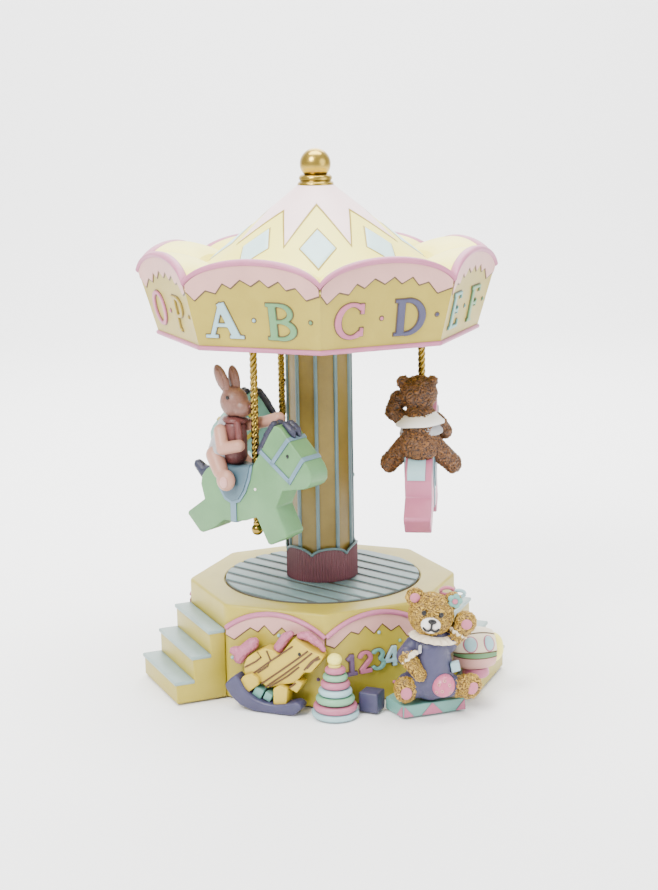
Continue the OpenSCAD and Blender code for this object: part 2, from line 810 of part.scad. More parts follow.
module teddy_bear() {
    seat_z = 0.8 + bear_plinth_t;
    color("peru") clear_of_plinth() difference() {
        union() {
            knob([47.2, -71, 46.8], 10.2);
            knob([40, -71.5, 55.2], 4.1);
            knob([56.8, -71, 52.8], 3.9);
            knob([46.5, -79, 45], 4.2);
            capsule([46.6, -70, 18], [46.8, -70.4, 29], 10.6);
            capsule([39.4, -71.4, 32.4], [35.6, -75.4, 28.4], 4.3);
            capsule([36.2, -77.4, 28.4], [41.4, -80.2, 21.6], 3.7);
            capsule([54.6, -71, 32.4], [60.5, -71.4, 40], 4.2);
            knob([62.4, -72.2, 43], 5);
            capsule([41, -72, 14.4], [37, -73.6, 14.4], 6.2);
            knob([35.3, -76.4, 13.9], 5.4);
            capsule([52, -71.6, 13.6], [60, -72, 13], 5.4);
            knob([64, -73, 13.4], 5.6);
        }
        translate([0, -110, -10]) cube([110, 110, 10 + seat_z]);
        translate([ball_x, ball_y, ball_z]) sphere(r = toy_ball_r + 0.4, $fn = 32);
    }
}

ship = [69, -53, 24.4];
ship_r = 9.8;
skid_r = 5.2;

// Toy airship: a fat body lying across the corner, with a nose cap and a skid under it
module toy_airship() {
    tread_z = felt_t + (plinth_h - felt_t) / (step_count + 1) - 0.5;
    color("wheat") clear_of_plinth() difference() {
        union() {
            translate(ship) rotate([0, 0, 10]) rotate([0, 90, 0]) rotate_extrude()
                polygon([[0, -12], [5, -11], [8.4, -7], [ship_r, -1], [ship_r, 2], [8.8, 6.4], [6, 7.6],
                         [6, 8], [5.2, 10.8], [2.6, 12.4], [0, 12.7]]);
            translate([ship[0], ship[1], tread_z]) cylinder(r = skid_r, h = ship[2] - tread_z);
        }
        translate([0, -120, -50]) cube([120, 120, 50 + tread_z]);
        linear_extrude(80) polygon([[26.8, -65.7], [34, -78.5], [63, -68.9], [54, -51.5], [37, -51.5]]);
        for (c = [[46.7, -70.2, 23.5, 16], [64, -73, 13.4, 6.2], [61, -71.6, 41, 6.4]])
            translate([c[0], c[1], c[2]]) sphere(r = c[3]);
        flight(step_azimuths[1]);
    }
}

base_casting();
left_steps();
right_steps();
felt_ring();
base_plate();
base_plate_screws();
bedplate();
movement_spacers();
movement_screws();
spring_barrel();
mainspring();
cylinder_bracket();
comb();
comb_block();
comb_screws();
governor_bracket();
shaft_bush();
rocking_horse();
rocker_bow();
ring_stack();
toy_block();
bear_plinth();
teddy_bear();
toy_ball();
toy_airship();
winding_key();
winding_arbor();
great_wheel();
pinned_cylinder();
cylinder_arbor();
cylinder_gear();
governor_worm();
governor_fly();
drive_shaft();
output_gear();
turntable_disc();
column();
column_skirt();
column_plug();
tie_rod();
canopy_nut();
canopy_ceiling();
canopy_shell();
canopy_roof();
finial_collar();
finial_ball();
pole_1();
pole_2();
pole_3();
pole_ball_1();
pole_ball_2();
pole_ball_3();
green_horse();
pink_horse();
teal_horse();
rabbit_rider();
bear_rider();
puppy_rider();
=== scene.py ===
"""Looks of the carousel music box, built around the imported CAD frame.

All helpers work in millimetres and azimuths in degrees; azimuth 0 is the plinth's front corner (-Y).
"""
import json
import math

import bmesh
import bpy
import numpy as np
from mathutils import Matrix, Vector, noise


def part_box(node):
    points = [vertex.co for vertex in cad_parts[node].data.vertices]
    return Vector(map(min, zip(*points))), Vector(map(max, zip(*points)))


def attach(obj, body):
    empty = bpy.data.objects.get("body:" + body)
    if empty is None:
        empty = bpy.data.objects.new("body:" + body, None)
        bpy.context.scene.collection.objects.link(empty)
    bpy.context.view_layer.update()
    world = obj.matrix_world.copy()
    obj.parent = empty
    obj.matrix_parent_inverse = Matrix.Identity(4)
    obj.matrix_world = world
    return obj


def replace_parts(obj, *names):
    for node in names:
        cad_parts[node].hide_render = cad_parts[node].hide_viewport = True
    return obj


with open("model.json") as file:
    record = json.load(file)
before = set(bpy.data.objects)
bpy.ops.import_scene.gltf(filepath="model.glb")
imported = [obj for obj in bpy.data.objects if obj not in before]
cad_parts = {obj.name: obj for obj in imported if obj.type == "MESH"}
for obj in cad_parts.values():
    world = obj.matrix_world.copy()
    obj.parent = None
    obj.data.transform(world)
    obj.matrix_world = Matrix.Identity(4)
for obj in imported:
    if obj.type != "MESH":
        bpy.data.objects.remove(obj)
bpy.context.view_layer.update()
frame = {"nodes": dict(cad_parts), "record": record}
MM = 0.001


# ---------- placing ----------

def rad(a):
    return math.radians(a)


def polar(r, a, z=0.0):
    return Vector((r * math.sin(rad(a)), -r * math.cos(rad(a)), z))


def around(count):
    """Angles of a full turn in equal steps, in radians."""
    return [2 * math.pi * i / count for i in range(count)]


def rotation(angle, axis):
    return Matrix.Rotation(rad(angle), 4, axis)


def aimed(direction):
    """Rotation that takes +Z to a direction."""
    return Vector((0, 0, 1)).rotation_difference(Vector(direction)).to_matrix().to_4x4()


def node_low(name):
    return Vector(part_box(name)[0]) / MM


def node_high(name):
    return Vector(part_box(name)[1]) / MM


SIDE_ANGLE = 45
HALF_FACE = SIDE_ANGLE / 2
CORNERS = [SIDE_ANGLE * k for k in range(8)]
FACES = [HALF_FACE + a for a in CORNERS]


def octagon_r(r, a):
    """Distance to the side of an octagon with its corners at distance r."""
    return r * math.cos(rad(HALF_FACE)) / math.cos(rad((a % SIDE_ANGLE) - HALF_FACE))


def soft_octagon_r(r, a, soft=0.5, width=2.2):
    """The same with its corners worn round."""
    off = abs(((a + HALF_FACE) % SIDE_ANGLE) - HALF_FACE)
    worn = max(0.0, 1 - off / width)
    return octagon_r(r, a) - soft * worn * worn


def face_frame(azimuth, apothem):
    """Matrix from (along, up, out) on a side of an octagon to the object."""
    out = polar(1, azimuth)
    along = Vector((math.cos(rad(azimuth)), math.sin(rad(azimuth)), 0))
    m = Matrix((along, Vector((0, 0, 1)), out)).transposed().to_4x4()
    m.translation = out * apothem
    return m


# ---------- meshes ----------

def linked(name, data):
    """New object in the scene."""
    obj = bpy.data.objects.new(name, data)
    bpy.context.scene.collection.objects.link(obj)
    return obj


def mesh_from(bm, name):
    mesh = bpy.data.meshes.new(name)
    bm.to_mesh(mesh)
    bm.free()
    return mesh


def finish_mesh(name, mesh, material, body, angle=38):
    mesh.materials.clear()
    mesh.materials.append(material)
    for poly in mesh.polygons:
        poly.use_smooth = True
        poly.material_index = 0
    mesh.set_sharp_from_angle(angle=rad(angle))
    obj = linked(name, mesh)
    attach(obj, body)
    return obj


def mesh_of(verts, faces, scale=MM):
    mesh = bpy.data.meshes.new("work")
    mesh.from_pydata([tuple(Vector(v) * scale) for v in verts], [], faces)
    mesh.validate()
    bm = bmesh.new()
    bm.from_mesh(mesh)
    bmesh.ops.recalc_face_normals(bm, faces=bm.faces)
    bm.to_mesh(mesh)
    bm.free()
    return mesh


def evaluated(mesh, steps):
    """A copy of the mesh after the modifiers in steps, as (type, settings) pairs."""
    obj = linked("work", mesh)
    for kind, settings in steps:
        mod = obj.modifiers.new(kind, kind)
        for key, value in settings.items():
            setattr(mod, key, value)
    bpy.context.view_layer.update()
    result = bpy.data.meshes.new_from_object(obj.evaluated_get(bpy.context.evaluated_depsgraph_get()))
    bpy.data.objects.remove(obj)
    return result


def join(meshes):
    bm = bmesh.new()
    for mesh in meshes:
        bm.from_mesh(mesh)
    return mesh_from(bm, "joined")


def bevel_step(width, segments=3, angle=30):
    return ("BEVEL", {"width": width * MM, "segments": segments, "limit_method": "ANGLE",
                      "angle_limit": rad(angle), "use_clamp_overlap": True})


def prism(points, low, high, place=None, bevel=0.0, segments=3):
    """Outline of (x, y) points raised from low to high, its edges rounded, then placed."""
    n = len(points)
    verts = [(p[0], p[1], low) for p in points] + [(p[0], p[1], high) for p in points]
    faces = [tuple(range(n - 1, -1, -1)), tuple(range(n, 2 * n))]
    faces += [(i, (i + 1) % n, n + (i + 1) % n, n + i) for i in range(n)]
    mesh = mesh_of(verts, faces)
    if bevel:
        mesh = evaluated(mesh, [bevel_step(bevel, segments)])
    return placed(mesh, place)


def placed(mesh, place):
    """The mesh moved by a matrix or a function that work in millimetres."""
    if place is None:
        return mesh
    for v in mesh.vertices:
        co = v.co / MM
        v.co = (place @ co if isinstance(place, Matrix) else place(co)) * MM
    return mesh


def grid(rows, closed_columns=True, closed_rows=True):
    """Surface through rows[i][k] points; i runs round the object and k along the profile."""
    n, m = len(rows), len(rows[0])
    verts = [p for row in rows for p in row]
    faces = []
    for i in range(n if closed_columns else n - 1):
        for k in range(m if closed_rows else m - 1):
            i2, k2 = (i + 1) % n, (k + 1) % m
            faces.append((i * m + k, i * m + k2, i2 * m + k2, i2 * m + k))
    if not closed_columns and closed_rows:
        faces += [tuple(range(m)), tuple((n - 1) * m + k for k in range(m))[::-1]]
    return mesh_of(verts, faces)


def turned(profile, columns=96, centre=Vector((0, 0, 0)), axis=None):
    """Body of revolution of (r, z) points about +Z, or about another axis through centre."""
    spin = Vector((0, 0, 1)).rotation_difference(axis).to_matrix() if axis else Matrix.Identity(3)
    rows = [[centre + spin @ Vector((r * math.cos(t), r * math.sin(t), z)) for r, z in profile]
            for t in around(columns)]
    return grid(rows)


def ring_by_azimuth(profile_at, columns=360):
    """Ring whose (r, z) profile is a function of azimuth."""
    rows = []
    for i in range(columns):
        a = 360 * i / columns
        rows.append([polar(r, a, z) for r, z in profile_at(a)])
    return grid(rows)


def sweep(path, radius, sides=12, closed=False):
    """Round bead along points; radius is a number or a function of the share along the path."""
    rows = []
    n = len(path)
    for i, p in enumerate(path):
        before = path[i - 1] if closed or i else path[0]
        after = path[(i + 1) % n] if closed or i < n - 1 else path[-1]
        t = (after - before).normalized()
        side = t.cross(Vector((0, 0, 1)))
        if side.length < 0.05:
            side = t.cross(Vector((1, 0, 0)))
        side.normalize()
        up = side.cross(t)
        r = radius(i / (n - 1)) if callable(radius) else radius
        rows.append([p + (side * math.cos(u) + up * math.sin(u)) * r for u in around(sides)])
    return grid(rows, closed_columns=closed)


def ball(centre, r, turn=None, detail=3):
    r = (r, r, r) if isinstance(r, (int, float)) else r
    bm = bmesh.new()
    bmesh.ops.create_icosphere(bm, subdivisions=detail, radius=1)
    m = Matrix.Translation(Vector(centre)) @ (turn or Matrix.Identity(4)) @ Matrix.Diagonal((*r, 1))
    for v in bm.verts:
        v.co = (m @ v.co) * MM
    return mesh_from(bm, "ball")


def limb(a, b, ra, rb=None):
    """Tapered capsule from a to b."""
    rb = ra if rb is None else rb
    bm = bmesh.new()
    for c, r in ((a, ra), (b, rb)):
        made = bmesh.ops.create_icosphere(bm, subdivisions=3, radius=r)
        for v in made["verts"]:
            v.co = v.co + Vector(c)
    hull = bmesh.ops.convex_hull(bm, input=bm.verts)
    spare = {g for g in hull["geom_interior"] if isinstance(g, bmesh.types.BMVert)}
    bmesh.ops.delete(bm, geom=list(spare), context="VERTS")
    for v in bm.verts:
        v.co = v.co * MM
    return mesh_from(bm, "limb")


def chain(*joints):
    """Limbs end to end through (place, radius) pairs."""
    return [limb(a, b, ra, rb) for (a, ra), (b, rb) in zip(joints, joints[1:])]


def modelled(meshes, voxel=0.4, smooth=4, place=None):
    """Union of closed meshes as one softly blended skin, like modelling clay."""
    mesh = evaluated(join(meshes),
                     [("REMESH", {"mode": "VOXEL", "voxel_size": voxel * MM, "use_smooth_shade": True}),
                      ("SMOOTH", {"factor": 0.5, "iterations": smooth})])
    return placed(mesh, place)


def set_cavity(mesh, values):
    layer = mesh.attributes.new("cavity", "FLOAT", "POINT")
    layer.data.foreach_set("value", np.asarray(values, dtype=np.float32))


def curls(mesh, depth=0.5, pitch=1.7, seed=0.0):
    """Carved curly fur: warped ridges pushed along the normals, with their grooves stored for painted
    shade.
    """
    grooves = []
    mesh.update()
    normals = [v.normal.copy() for v in mesh.vertices]
    for v, n in zip(mesh.vertices, normals):
        p = v.co / MM
        q = noise.noise_vector(p * 0.42 + Vector((seed, 0, 0)))
        w = noise.noise_vector(p * 0.9 + Vector((0, seed, 7)))
        phase = (p.x * 0.8 + p.y * 0.5 + p.z * 1.1) * math.pi / pitch + q.x * 7 + q.y * 4 + w.z * 1.6
        ridge = abs(math.sin(phase)) ** 0.7 * (0.75 + 0.5 * w.x)
        v.co = v.co + n * (ridge - 0.45) * depth * MM
        grooves.append(min(1.0, max(0.0, 1.12 - 1.25 * ridge)))
    set_cavity(mesh, grooves)
    return mesh


# ---------- materials ----------

# Second colour of a paint: its fine speckle tone and its painted shade in the recesses
SPECKLE_AND_SHADE = (0.20, 0.13, 0.05)


def painted(name, colour, speckle_and_shade=SPECKLE_AND_SHADE, painted_shade_amount=0.75, rough=0.42, mottle=0.10, bump=0.12, cavity=0.0,
            light=None, reach=1.6):
    """Hand-painted resin: uneven coat with fine darker speckle, painted shade darkening the recesses, fine
    brush texture.
    """
    mat = bpy.data.materials.new(name)
    mat.use_nodes = True
    tree = mat.node_tree
    nodes, links = tree.nodes, tree.links
    shader = nodes["Principled BSDF"]
    shader.inputs["Roughness"].default_value = rough
    shader.inputs["Specular IOR Level"].default_value = 0.45
    where = nodes.new("ShaderNodeTexCoord")

    def noise_node(scale, detail):
        node = nodes.new("ShaderNodeTexNoise")
        node.inputs["Scale"].default_value = scale
        node.inputs["Detail"].default_value = detail
        links.new(where.outputs["Object"], node.inputs["Vector"])
        return node

    def mix(factor, a, b):
        node = nodes.new("ShaderNodeMix")
        node.data_type = "RGBA"
        if isinstance(factor, float):
            node.inputs[0].default_value = factor
        else:
            links.new(factor, node.inputs[0])
        for socket, value in ((node.inputs[6], a), (node.inputs[7], b)):
            if isinstance(value, tuple):
                socket.default_value = (*value, 1)
            else:
                links.new(value, socket)
        return node.outputs[2]

    def math_node(kind, a, b):
        node = nodes.new("ShaderNodeMath")
        node.operation = kind
        node.use_clamp = True
        for socket, value in zip(node.inputs, (a, b)):
            if isinstance(value, (int, float)):
                socket.default_value = value
            else:
                links.new(value, socket)
        return node.outputs[0]

    broad = noise_node(70, 3)
    fine = noise_node(900, 4)
    deep = tuple(c * (1 - mottle * 2.2) for c in colour)
    pale = light or tuple(min(1, c * (1 + mottle * 0.8) + 0.015) for c in colour)
    coat = mix(broad.outputs["Fac"], pale, deep)
    coat = mix(math_node("MULTIPLY", fine.outputs["Fac"], mottle), coat, speckle_and_shade)
    # Painted shade: the coat darkens towards the second colour where ambient occlusion finds a recess
    dark = nodes.new("ShaderNodeAmbientOcclusion")
    dark.samples = 6
    dark.inputs["Distance"].default_value = reach * MM
    shade = math_node("SUBTRACT", 1.0, dark.outputs["AO"])
    shade = math_node("MULTIPLY", shade, painted_shade_amount)
    # Painted shade also in the grooves stored on the mesh
    if cavity:
        groove = nodes.new("ShaderNodeAttribute")
        groove.attribute_name = "cavity"
        shade = math_node("ADD", shade, math_node("MULTIPLY", groove.outputs["Fac"], cavity))
    coat = mix(shade, coat, speckle_and_shade)
    links.new(coat, shader.inputs["Base Color"])
    lift = nodes.new("ShaderNodeBump")
    lift.inputs["Strength"].default_value = bump
    lift.inputs["Distance"].default_value = 0.25 * MM
    links.new(fine.outputs["Fac"], lift.inputs["Height"])
    links.new(lift.outputs["Normal"], shader.inputs["Normal"])
    return mat


def metal(name, colour, rough=0.3, bump=0.08, scale=700, dark=(0.05, 0.035, 0.01), dark_amount=0.8):
    """Metal or metallic paint, with painted shade in its recesses and uneven gloss."""
    mat = painted(name, colour, speckle_and_shade=dark, painted_shade_amount=dark_amount, rough=rough, mottle=0.06, bump=bump)
    tree = mat.node_tree
    shader = tree.nodes["Principled BSDF"]
    shader.inputs["Metallic"].default_value = 1.0
    gloss = tree.nodes.new("ShaderNodeTexNoise")
    gloss.inputs["Scale"].default_value = scale
    spread = tree.nodes.new("ShaderNodeMapRange")
    spread.inputs["To Min"].default_value = rough * 0.75
    spread.inputs["To Max"].default_value = rough * 1.3
    tree.links.new(gloss.outputs["Fac"], spread.inputs["Value"])
    tree.links.new(spread.outputs["Result"], shader.inputs["Roughness"])
    return mat


# Colours as seen on the object, in linear light; each second colour is speckle tone and painted shade in
# recesses
YELLOW = painted("yellow_paint", (0.43, 0.345, 0.026), mottle=0.08, speckle_and_shade=(0.14, 0.09, 0.008))
PALE_YELLOW = painted("pale_yellow_paint", (0.95, 0.86, 0.17), mottle=0.05, painted_shade_amount=0.45)
FIELD = painted("frieze_paint", (0.41, 0.315, 0.022), mottle=0.11, speckle_and_shade=(0.12, 0.075, 0.006))
OUTLINE = painted("outline_paint", (0.075, 0.042, 0.008), mottle=0.12, rough=0.5)
GOLD_LINE = painted("gold_line_paint", (0.34, 0.25, 0.012), mottle=0.12, rough=0.4)
ROSE = painted("rose_bead_paint", (0.5, 0.155, 0.27), mottle=0.12, speckle_and_shade=(0.18, 0.055, 0.09))
BLUSH = painted("blush_paint", (0.62, 0.33, 0.29), mottle=0.08, speckle_and_shade=(0.28, 0.13, 0.09))
PALE_PINK = painted("cone_pink_paint", (0.93, 0.70, 0.72), mottle=0.04, painted_shade_amount=0.35)
SKY = painted("sky_paint", (0.34, 0.54, 0.58), mottle=0.10, speckle_and_shade=(0.08, 0.14, 0.15))
LOZENGE = painted("lozenge_paint", (0.52, 0.76, 0.80), mottle=0.08, painted_shade_amount=0.4)
STRAP = painted("strap_paint", (0.14, 0.235, 0.31), mottle=0.12, speckle_and_shade=(0.03, 0.07, 0.1))
SAGE = painted("sage_paint", (0.12, 0.28, 0.115), mottle=0.12, speckle_and_shade=(0.02, 0.06, 0.025))
MINT = painted("mint_paint", (0.19, 0.42, 0.25), mottle=0.08, speckle_and_shade=(0.02, 0.09, 0.05))
TEAL = painted("teal_paint", (0.15, 0.36, 0.31), mottle=0.10, speckle_and_shade=(0.025, 0.09, 0.075))
STEP_BLUE = painted("tread_paint", (0.27, 0.375, 0.36), mottle=0.12, speckle_and_shade=(0.06, 0.1, 0.09))
PLANK = painted("plank_paint", (0.15, 0.235, 0.24), mottle=0.18, speckle_and_shade=(0.02, 0.045, 0.05))
# Dark paint of the deck disc: painted shade in the gaps between the boards and at the disc's edge
PLANK_GAP_SHADE = painted("plank_gap_shade_paint", (0.045, 0.07, 0.075), mottle=0.15, rough=0.6)
NAVY = painted("navy_paint", (0.052, 0.05, 0.115), mottle=0.16, speckle_and_shade=(0.01, 0.01, 0.028))
MANE = painted("mane_paint", (0.026, 0.028, 0.062), mottle=0.16, speckle_and_shade=(0.006, 0.006, 0.014))
VIOLET = painted("violet_paint", (0.12, 0.065, 0.15), mottle=0.12, speckle_and_shade=(0.05, 0.03, 0.08))
PINK = painted("pink_paint", (0.47, 0.135, 0.225), mottle=0.10, speckle_and_shade=(0.18, 0.045, 0.08))
MUSTARD = painted("column_paint", (0.235, 0.16, 0.018), mottle=0.18, speckle_and_shade=(0.06, 0.035, 0.004))
RIB = painted("column_rib_paint", (0.115, 0.195, 0.21), mottle=0.12, speckle_and_shade=(0.025, 0.05, 0.055))
MAROON = painted("skirt_paint", (0.185, 0.058, 0.072), mottle=0.14, speckle_and_shade=(0.035, 0.008, 0.014),
                 painted_shade_amount=1.0)
GOLD = metal("gold_leaf_paint", (0.44, 0.3, 0.05), rough=0.26)
# The rope's grooves are darkened almost to black with painted shade
BRASS_ROPE = metal("twisted_brass_metal", (0.30, 0.20, 0.035), rough=0.13, dark=(0.008, 0.005, 0.001),
                   dark_amount=1.0)
BLACK = painted("black_paint", (0.004, 0.004, 0.005), speckle_and_shade=(0.002, 0.002, 0.002), mottle=0.05, rough=0.3,
                light=(0.006, 0.006, 0.007))
WHITE = painted("white_paint", (0.86, 0.82, 0.76), mottle=0.05, speckle_and_shade=(0.35, 0.26, 0.18))


# ---------- canopy ----------

LOW_R, HIGH_R, LOW_Z = 74.9, 82.7, 165.3
VALLEY_Z, ARCH_Z = 196.5, 206.0
CONE_LOW_R, CONE_TOP_Z = 54.0, node_low("finial_collar").z
CONE_SLOPE = (CONE_TOP_Z - VALLEY_Z + 0.5) / (CONE_LOW_R - 8)
CANOPY_WALL = 3.2


def arch_share(a):
    u = math.tan(rad((a % SIDE_ANGLE) - HALF_FACE)) / math.tan(rad(HALF_FACE))
    k = 0.30
    return (math.sqrt(max(0.0, 1 - u * u * (1 - k * k))) - k) / (1 - k)


def rim_z(a):
    return VALLEY_Z + (ARCH_Z - VALLEY_Z) * arch_share(a)


def field_top(a):
    return rim_z(a) - 4.6


def on_frieze(azimuth):
    """Function from (along, height, out) to the object, on the sloping side of the canopy."""
    along = Vector((math.cos(rad(azimuth)), math.sin(rad(azimuth)), 0))
    out = polar(1, azimuth)

    def place(p):
        d = 71.5
        for _ in range(2):
            a = azimuth + math.degrees(math.atan2(p.x, d))
            share = (p.y - LOW_Z) / (field_top(a) - LOW_Z)
            d = (LOW_R + (HIGH_R - LOW_R) * share) * math.cos(rad(HALF_FACE))
        return along * p.x + out * (d + p.z * 0.97) + Vector((0, 0, p.y - p.z * 0.22))
    return place


def canopy():
    def profile(a):
        rim = octagon_r(HIGH_R, a)
        top = field_top(a)
        points = [(octagon_r(LOW_R, a), LOW_Z - 0.3)]
        points += [(octagon_r(LOW_R + (HIGH_R - LOW_R) * s, a), LOW_Z + (top - LOW_Z) * s)
                   for s in (0.04, 0.25, 0.5, 0.75, 1.0)]
        z = rim_z(a)
        for i in range(1, 13):
            s = i / 12
            points.append((rim + (CONE_LOW_R - rim) * s, VALLEY_Z + (z - VALLEY_Z) * math.sqrt(1 - s * s)
                           - 0.5 * s - 0.25 * (i < 3)))
        points += [(r, VALLEY_Z - 0.5 + CONE_SLOPE * (CONE_LOW_R - r)) for r in (44, 34, 24, 15, 8)]
        points += [(2.4, CONE_TOP_Z - 0.05), (2.4, CONE_TOP_Z - 6), (8, CONE_TOP_Z - 6),
                   (CONE_LOW_R - 1, VALLEY_Z - 5), (rim - 5, z - 7),
                   (octagon_r(LOW_R, a) - CANOPY_WALL, LOW_Z - 0.3)]
        return points

    mesh = ring_by_azimuth(profile, 480)
    shell = finish_mesh("canopy_shell_cast", mesh, PALE_YELLOW, "carousel", 24)
    mesh.materials.append(FIELD)
    for poly in mesh.polygons:
        c = poly.center / MM
        a = math.degrees(math.atan2(c.x, -c.y)) % 360
        if c.z < field_top(a) + 0.5 and c.xy.length > octagon_r(LOW_R, a) - 1 and c.z < rim_z(a) - 3:
            poly.material_index = 1
    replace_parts(shell, "canopy_shell", "canopy_roof")

    def bead(a):
        r, z = octagon_r(HIGH_R, a), rim_z(a) - 1.25
        return [(r - 0.2 + 2.4 * math.cos(t), z + 1.55 * math.sin(t)) for t in around(16)]
    finish_mesh("canopy_rim_bead", ring_by_azimuth(bead, 480), ROSE, "carousel", 50)

    def low_bead(a):
        r = octagon_r(LOW_R, a)
        return [(r + 0.1 + 1.25 * math.cos(t), LOW_Z + 0.55 + 1.15 * math.sin(t)) for t in around(12)]
    finish_mesh("canopy_low_bead", ring_by_azimuth(low_bead, 360), ROSE, "carousel", 50)


# Points of the pinked border, as (along, height), between two corners of the canopy
FRIEZE_ZIGZAG = [(-31, 191.3), (-27.8, 187.6), (-22.3, 192.3), (-17.7, 191.1), (-14.1, 195.6),
                 (-10.3, 193.5), (-5.6, 197.4), (-0.7, 194.7), (3.7, 197.6), (7.4, 194.4), (12.4, 197.1),
                 (15.6, 193.3), (20.1, 194.5), (24.7, 189.2), (31, 191.3)]


def level(points, t):
    return float(np.interp(t, [p[0] for p in points], [p[1] for p in points]))


def border(zigzag, top, place, half, drop, out, step=0.45):
    """Strip with a pinked lower edge; drop lowers that edge, so a lower strip shows as an outline."""
    n = int(2 * half / step)
    rows = []
    for i in range(n + 1):
        t = -half + 2 * half * i / n
        low, high = level(zigzag, t) - drop, top(t)
        low = min(low, high - 0.2)
        rows.append([place(Vector((t, low, -0.6))), place(Vector((t, low, out * 0.6))),
                     place(Vector((t, low + 0.25, out))), place(Vector((t, (low + high) / 2, out))),
                     place(Vector((t, high, out))), place(Vector((t, high, -0.6)))])
    return grid(rows, closed_columns=False)


def frieze_borders():
    half = 31.2
    pink, brown = [], []
    for a in FACES:
        def top(t, a=a):
            return field_top(a + math.degrees(math.atan2(t, 75.5))) + 2.4
        place = on_frieze(a)
        pink.append(border(FRIEZE_ZIGZAG, top, place, half, 0.0, 0.55))
        brown.append(border(FRIEZE_ZIGZAG, top, place, half, 0.75, 0.25))
    finish_mesh("frieze_border", join(pink), BLUSH, "carousel", 30)
    finish_mesh("frieze_border_line", join(brown), OUTLINE, "carousel", 30)


# Letterforms: strokes on a square one high. An "l" stroke is a line: x0, y0, x1, y1, width.
# An "a" stroke is an arc: centre x and y, radius x and y, start and end angle, width.
def serif(x, y, w=0.30):
    return bar(x - w / 2, x + w / 2, y, 0.085)


def bar(x0, x1, y, w):
    return ("l", x0, y, x1, y, w)


def post(x, y0, y1, w):
    return ("l", x, y0, x, y1, w)


def stem(x, w=0.17):
    return [post(x, 0.04, 0.96, w), serif(x, 0.045), serif(x, 0.955)]


LETTERS = {
    "A": [("l", 0.14, 0.05, 0.42, 0.96, 0.10), ("l", 0.40, 0.96, 0.72, 0.05, 0.19),
          bar(0.24, 0.6, 0.36, 0.09), serif(0.13, 0.045), serif(0.73, 0.045, 0.34)],
    "B": stem(0.2) + [("a", 0.36, 0.73, 0.26, 0.22, -95, 95, 0.13),
                      ("a", 0.36, 0.27, 0.31, 0.235, -95, 95, 0.15), bar(0.2, 0.38, 0.955, 0.085),
                      bar(0.2, 0.38, 0.5, 0.085), bar(0.2, 0.38, 0.045, 0.085)],
    "C": [("a", 0.44, 0.5, 0.33, 0.44, 48, 312, 0.15), post(0.69, 0.68, 0.95, 0.08),
          post(0.69, 0.08, 0.30, 0.08)],
    "D": stem(0.2) + [("a", 0.34, 0.5, 0.38, 0.455, -92, 92, 0.16), bar(0.2, 0.36, 0.955, 0.085),
                      bar(0.2, 0.36, 0.045, 0.085)],
    "E": stem(0.22) + [bar(0.22, 0.68, 0.955, 0.09), bar(0.22, 0.54, 0.5, 0.09),
                       bar(0.22, 0.70, 0.045, 0.09), post(0.67, 0.80, 0.98, 0.08),
                       post(0.70, 0.02, 0.22, 0.08), post(0.54, 0.40, 0.60, 0.07)],
    "F": stem(0.22) + [bar(0.22, 0.68, 0.955, 0.09), bar(0.22, 0.54, 0.5, 0.09),
                       post(0.67, 0.80, 0.98, 0.08), post(0.54, 0.40, 0.60, 0.07)],
    "G": [("a", 0.44, 0.5, 0.33, 0.44, 48, 312, 0.15), post(0.69, 0.70, 0.95, 0.08),
          post(0.68, 0.10, 0.44, 0.14), serif(0.66, 0.45)],
    "H": stem(0.18) + stem(0.66) + [bar(0.18, 0.66, 0.5, 0.09)],
    "I": stem(0.42),
    "J": [post(0.50, 0.25, 0.96, 0.17), serif(0.50, 0.955),
          ("a", 0.34, 0.25, 0.17, 0.20, 180, 360, 0.13)],
    "K": stem(0.2) + [("l", 0.24, 0.44, 0.64, 0.94, 0.09), ("l", 0.36, 0.56, 0.70, 0.06, 0.17),
                      serif(0.66, 0.955), serif(0.70, 0.045)],
    "L": stem(0.22) + [bar(0.22, 0.68, 0.045, 0.09), post(0.67, 0.02, 0.25, 0.08)],
    "M": [post(0.14, 0.04, 0.96, 0.10), ("l", 0.14, 0.95, 0.42, 0.12, 0.16),
          ("l", 0.42, 0.12, 0.70, 0.95, 0.10), post(0.71, 0.04, 0.96, 0.17), serif(0.14, 0.045),
          serif(0.71, 0.045), serif(0.10, 0.955, 0.2), serif(0.74, 0.955, 0.2)],
    "N": [post(0.16, 0.04, 0.96, 0.10), ("l", 0.16, 0.95, 0.66, 0.06, 0.18), post(0.67, 0.04, 0.96, 0.10),
          serif(0.16, 0.045), serif(0.12, 0.955, 0.22), serif(0.67, 0.955)],
    "O": [("a", 0.43, 0.5, 0.33, 0.44, 0, 360, 0.15)],
    "P": stem(0.2) + [("a", 0.36, 0.70, 0.29, 0.25, -95, 95, 0.14), bar(0.2, 0.38, 0.955, 0.085),
                      bar(0.2, 0.38, 0.45, 0.085)],
    "1": [post(0.42, 0.05, 0.95, 0.2), ("l", 0.2, 0.72, 0.42, 0.92, 0.14), bar(0.18, 0.66, 0.08, 0.15)],
    "2": [("a", 0.42, 0.68, 0.25, 0.24, -40, 175, 0.19), ("l", 0.62, 0.54, 0.2, 0.12, 0.19),
          bar(0.16, 0.72, 0.09, 0.18)],
    "3": [("a", 0.38, 0.71, 0.23, 0.2, -80, 160, 0.18), ("a", 0.38, 0.29, 0.26, 0.22, -160, 80, 0.18)],
    "4": [post(0.56, 0.05, 0.95, 0.19), ("l", 0.52, 0.92, 0.14, 0.34, 0.15), bar(0.12, 0.76, 0.31, 0.16)],
}


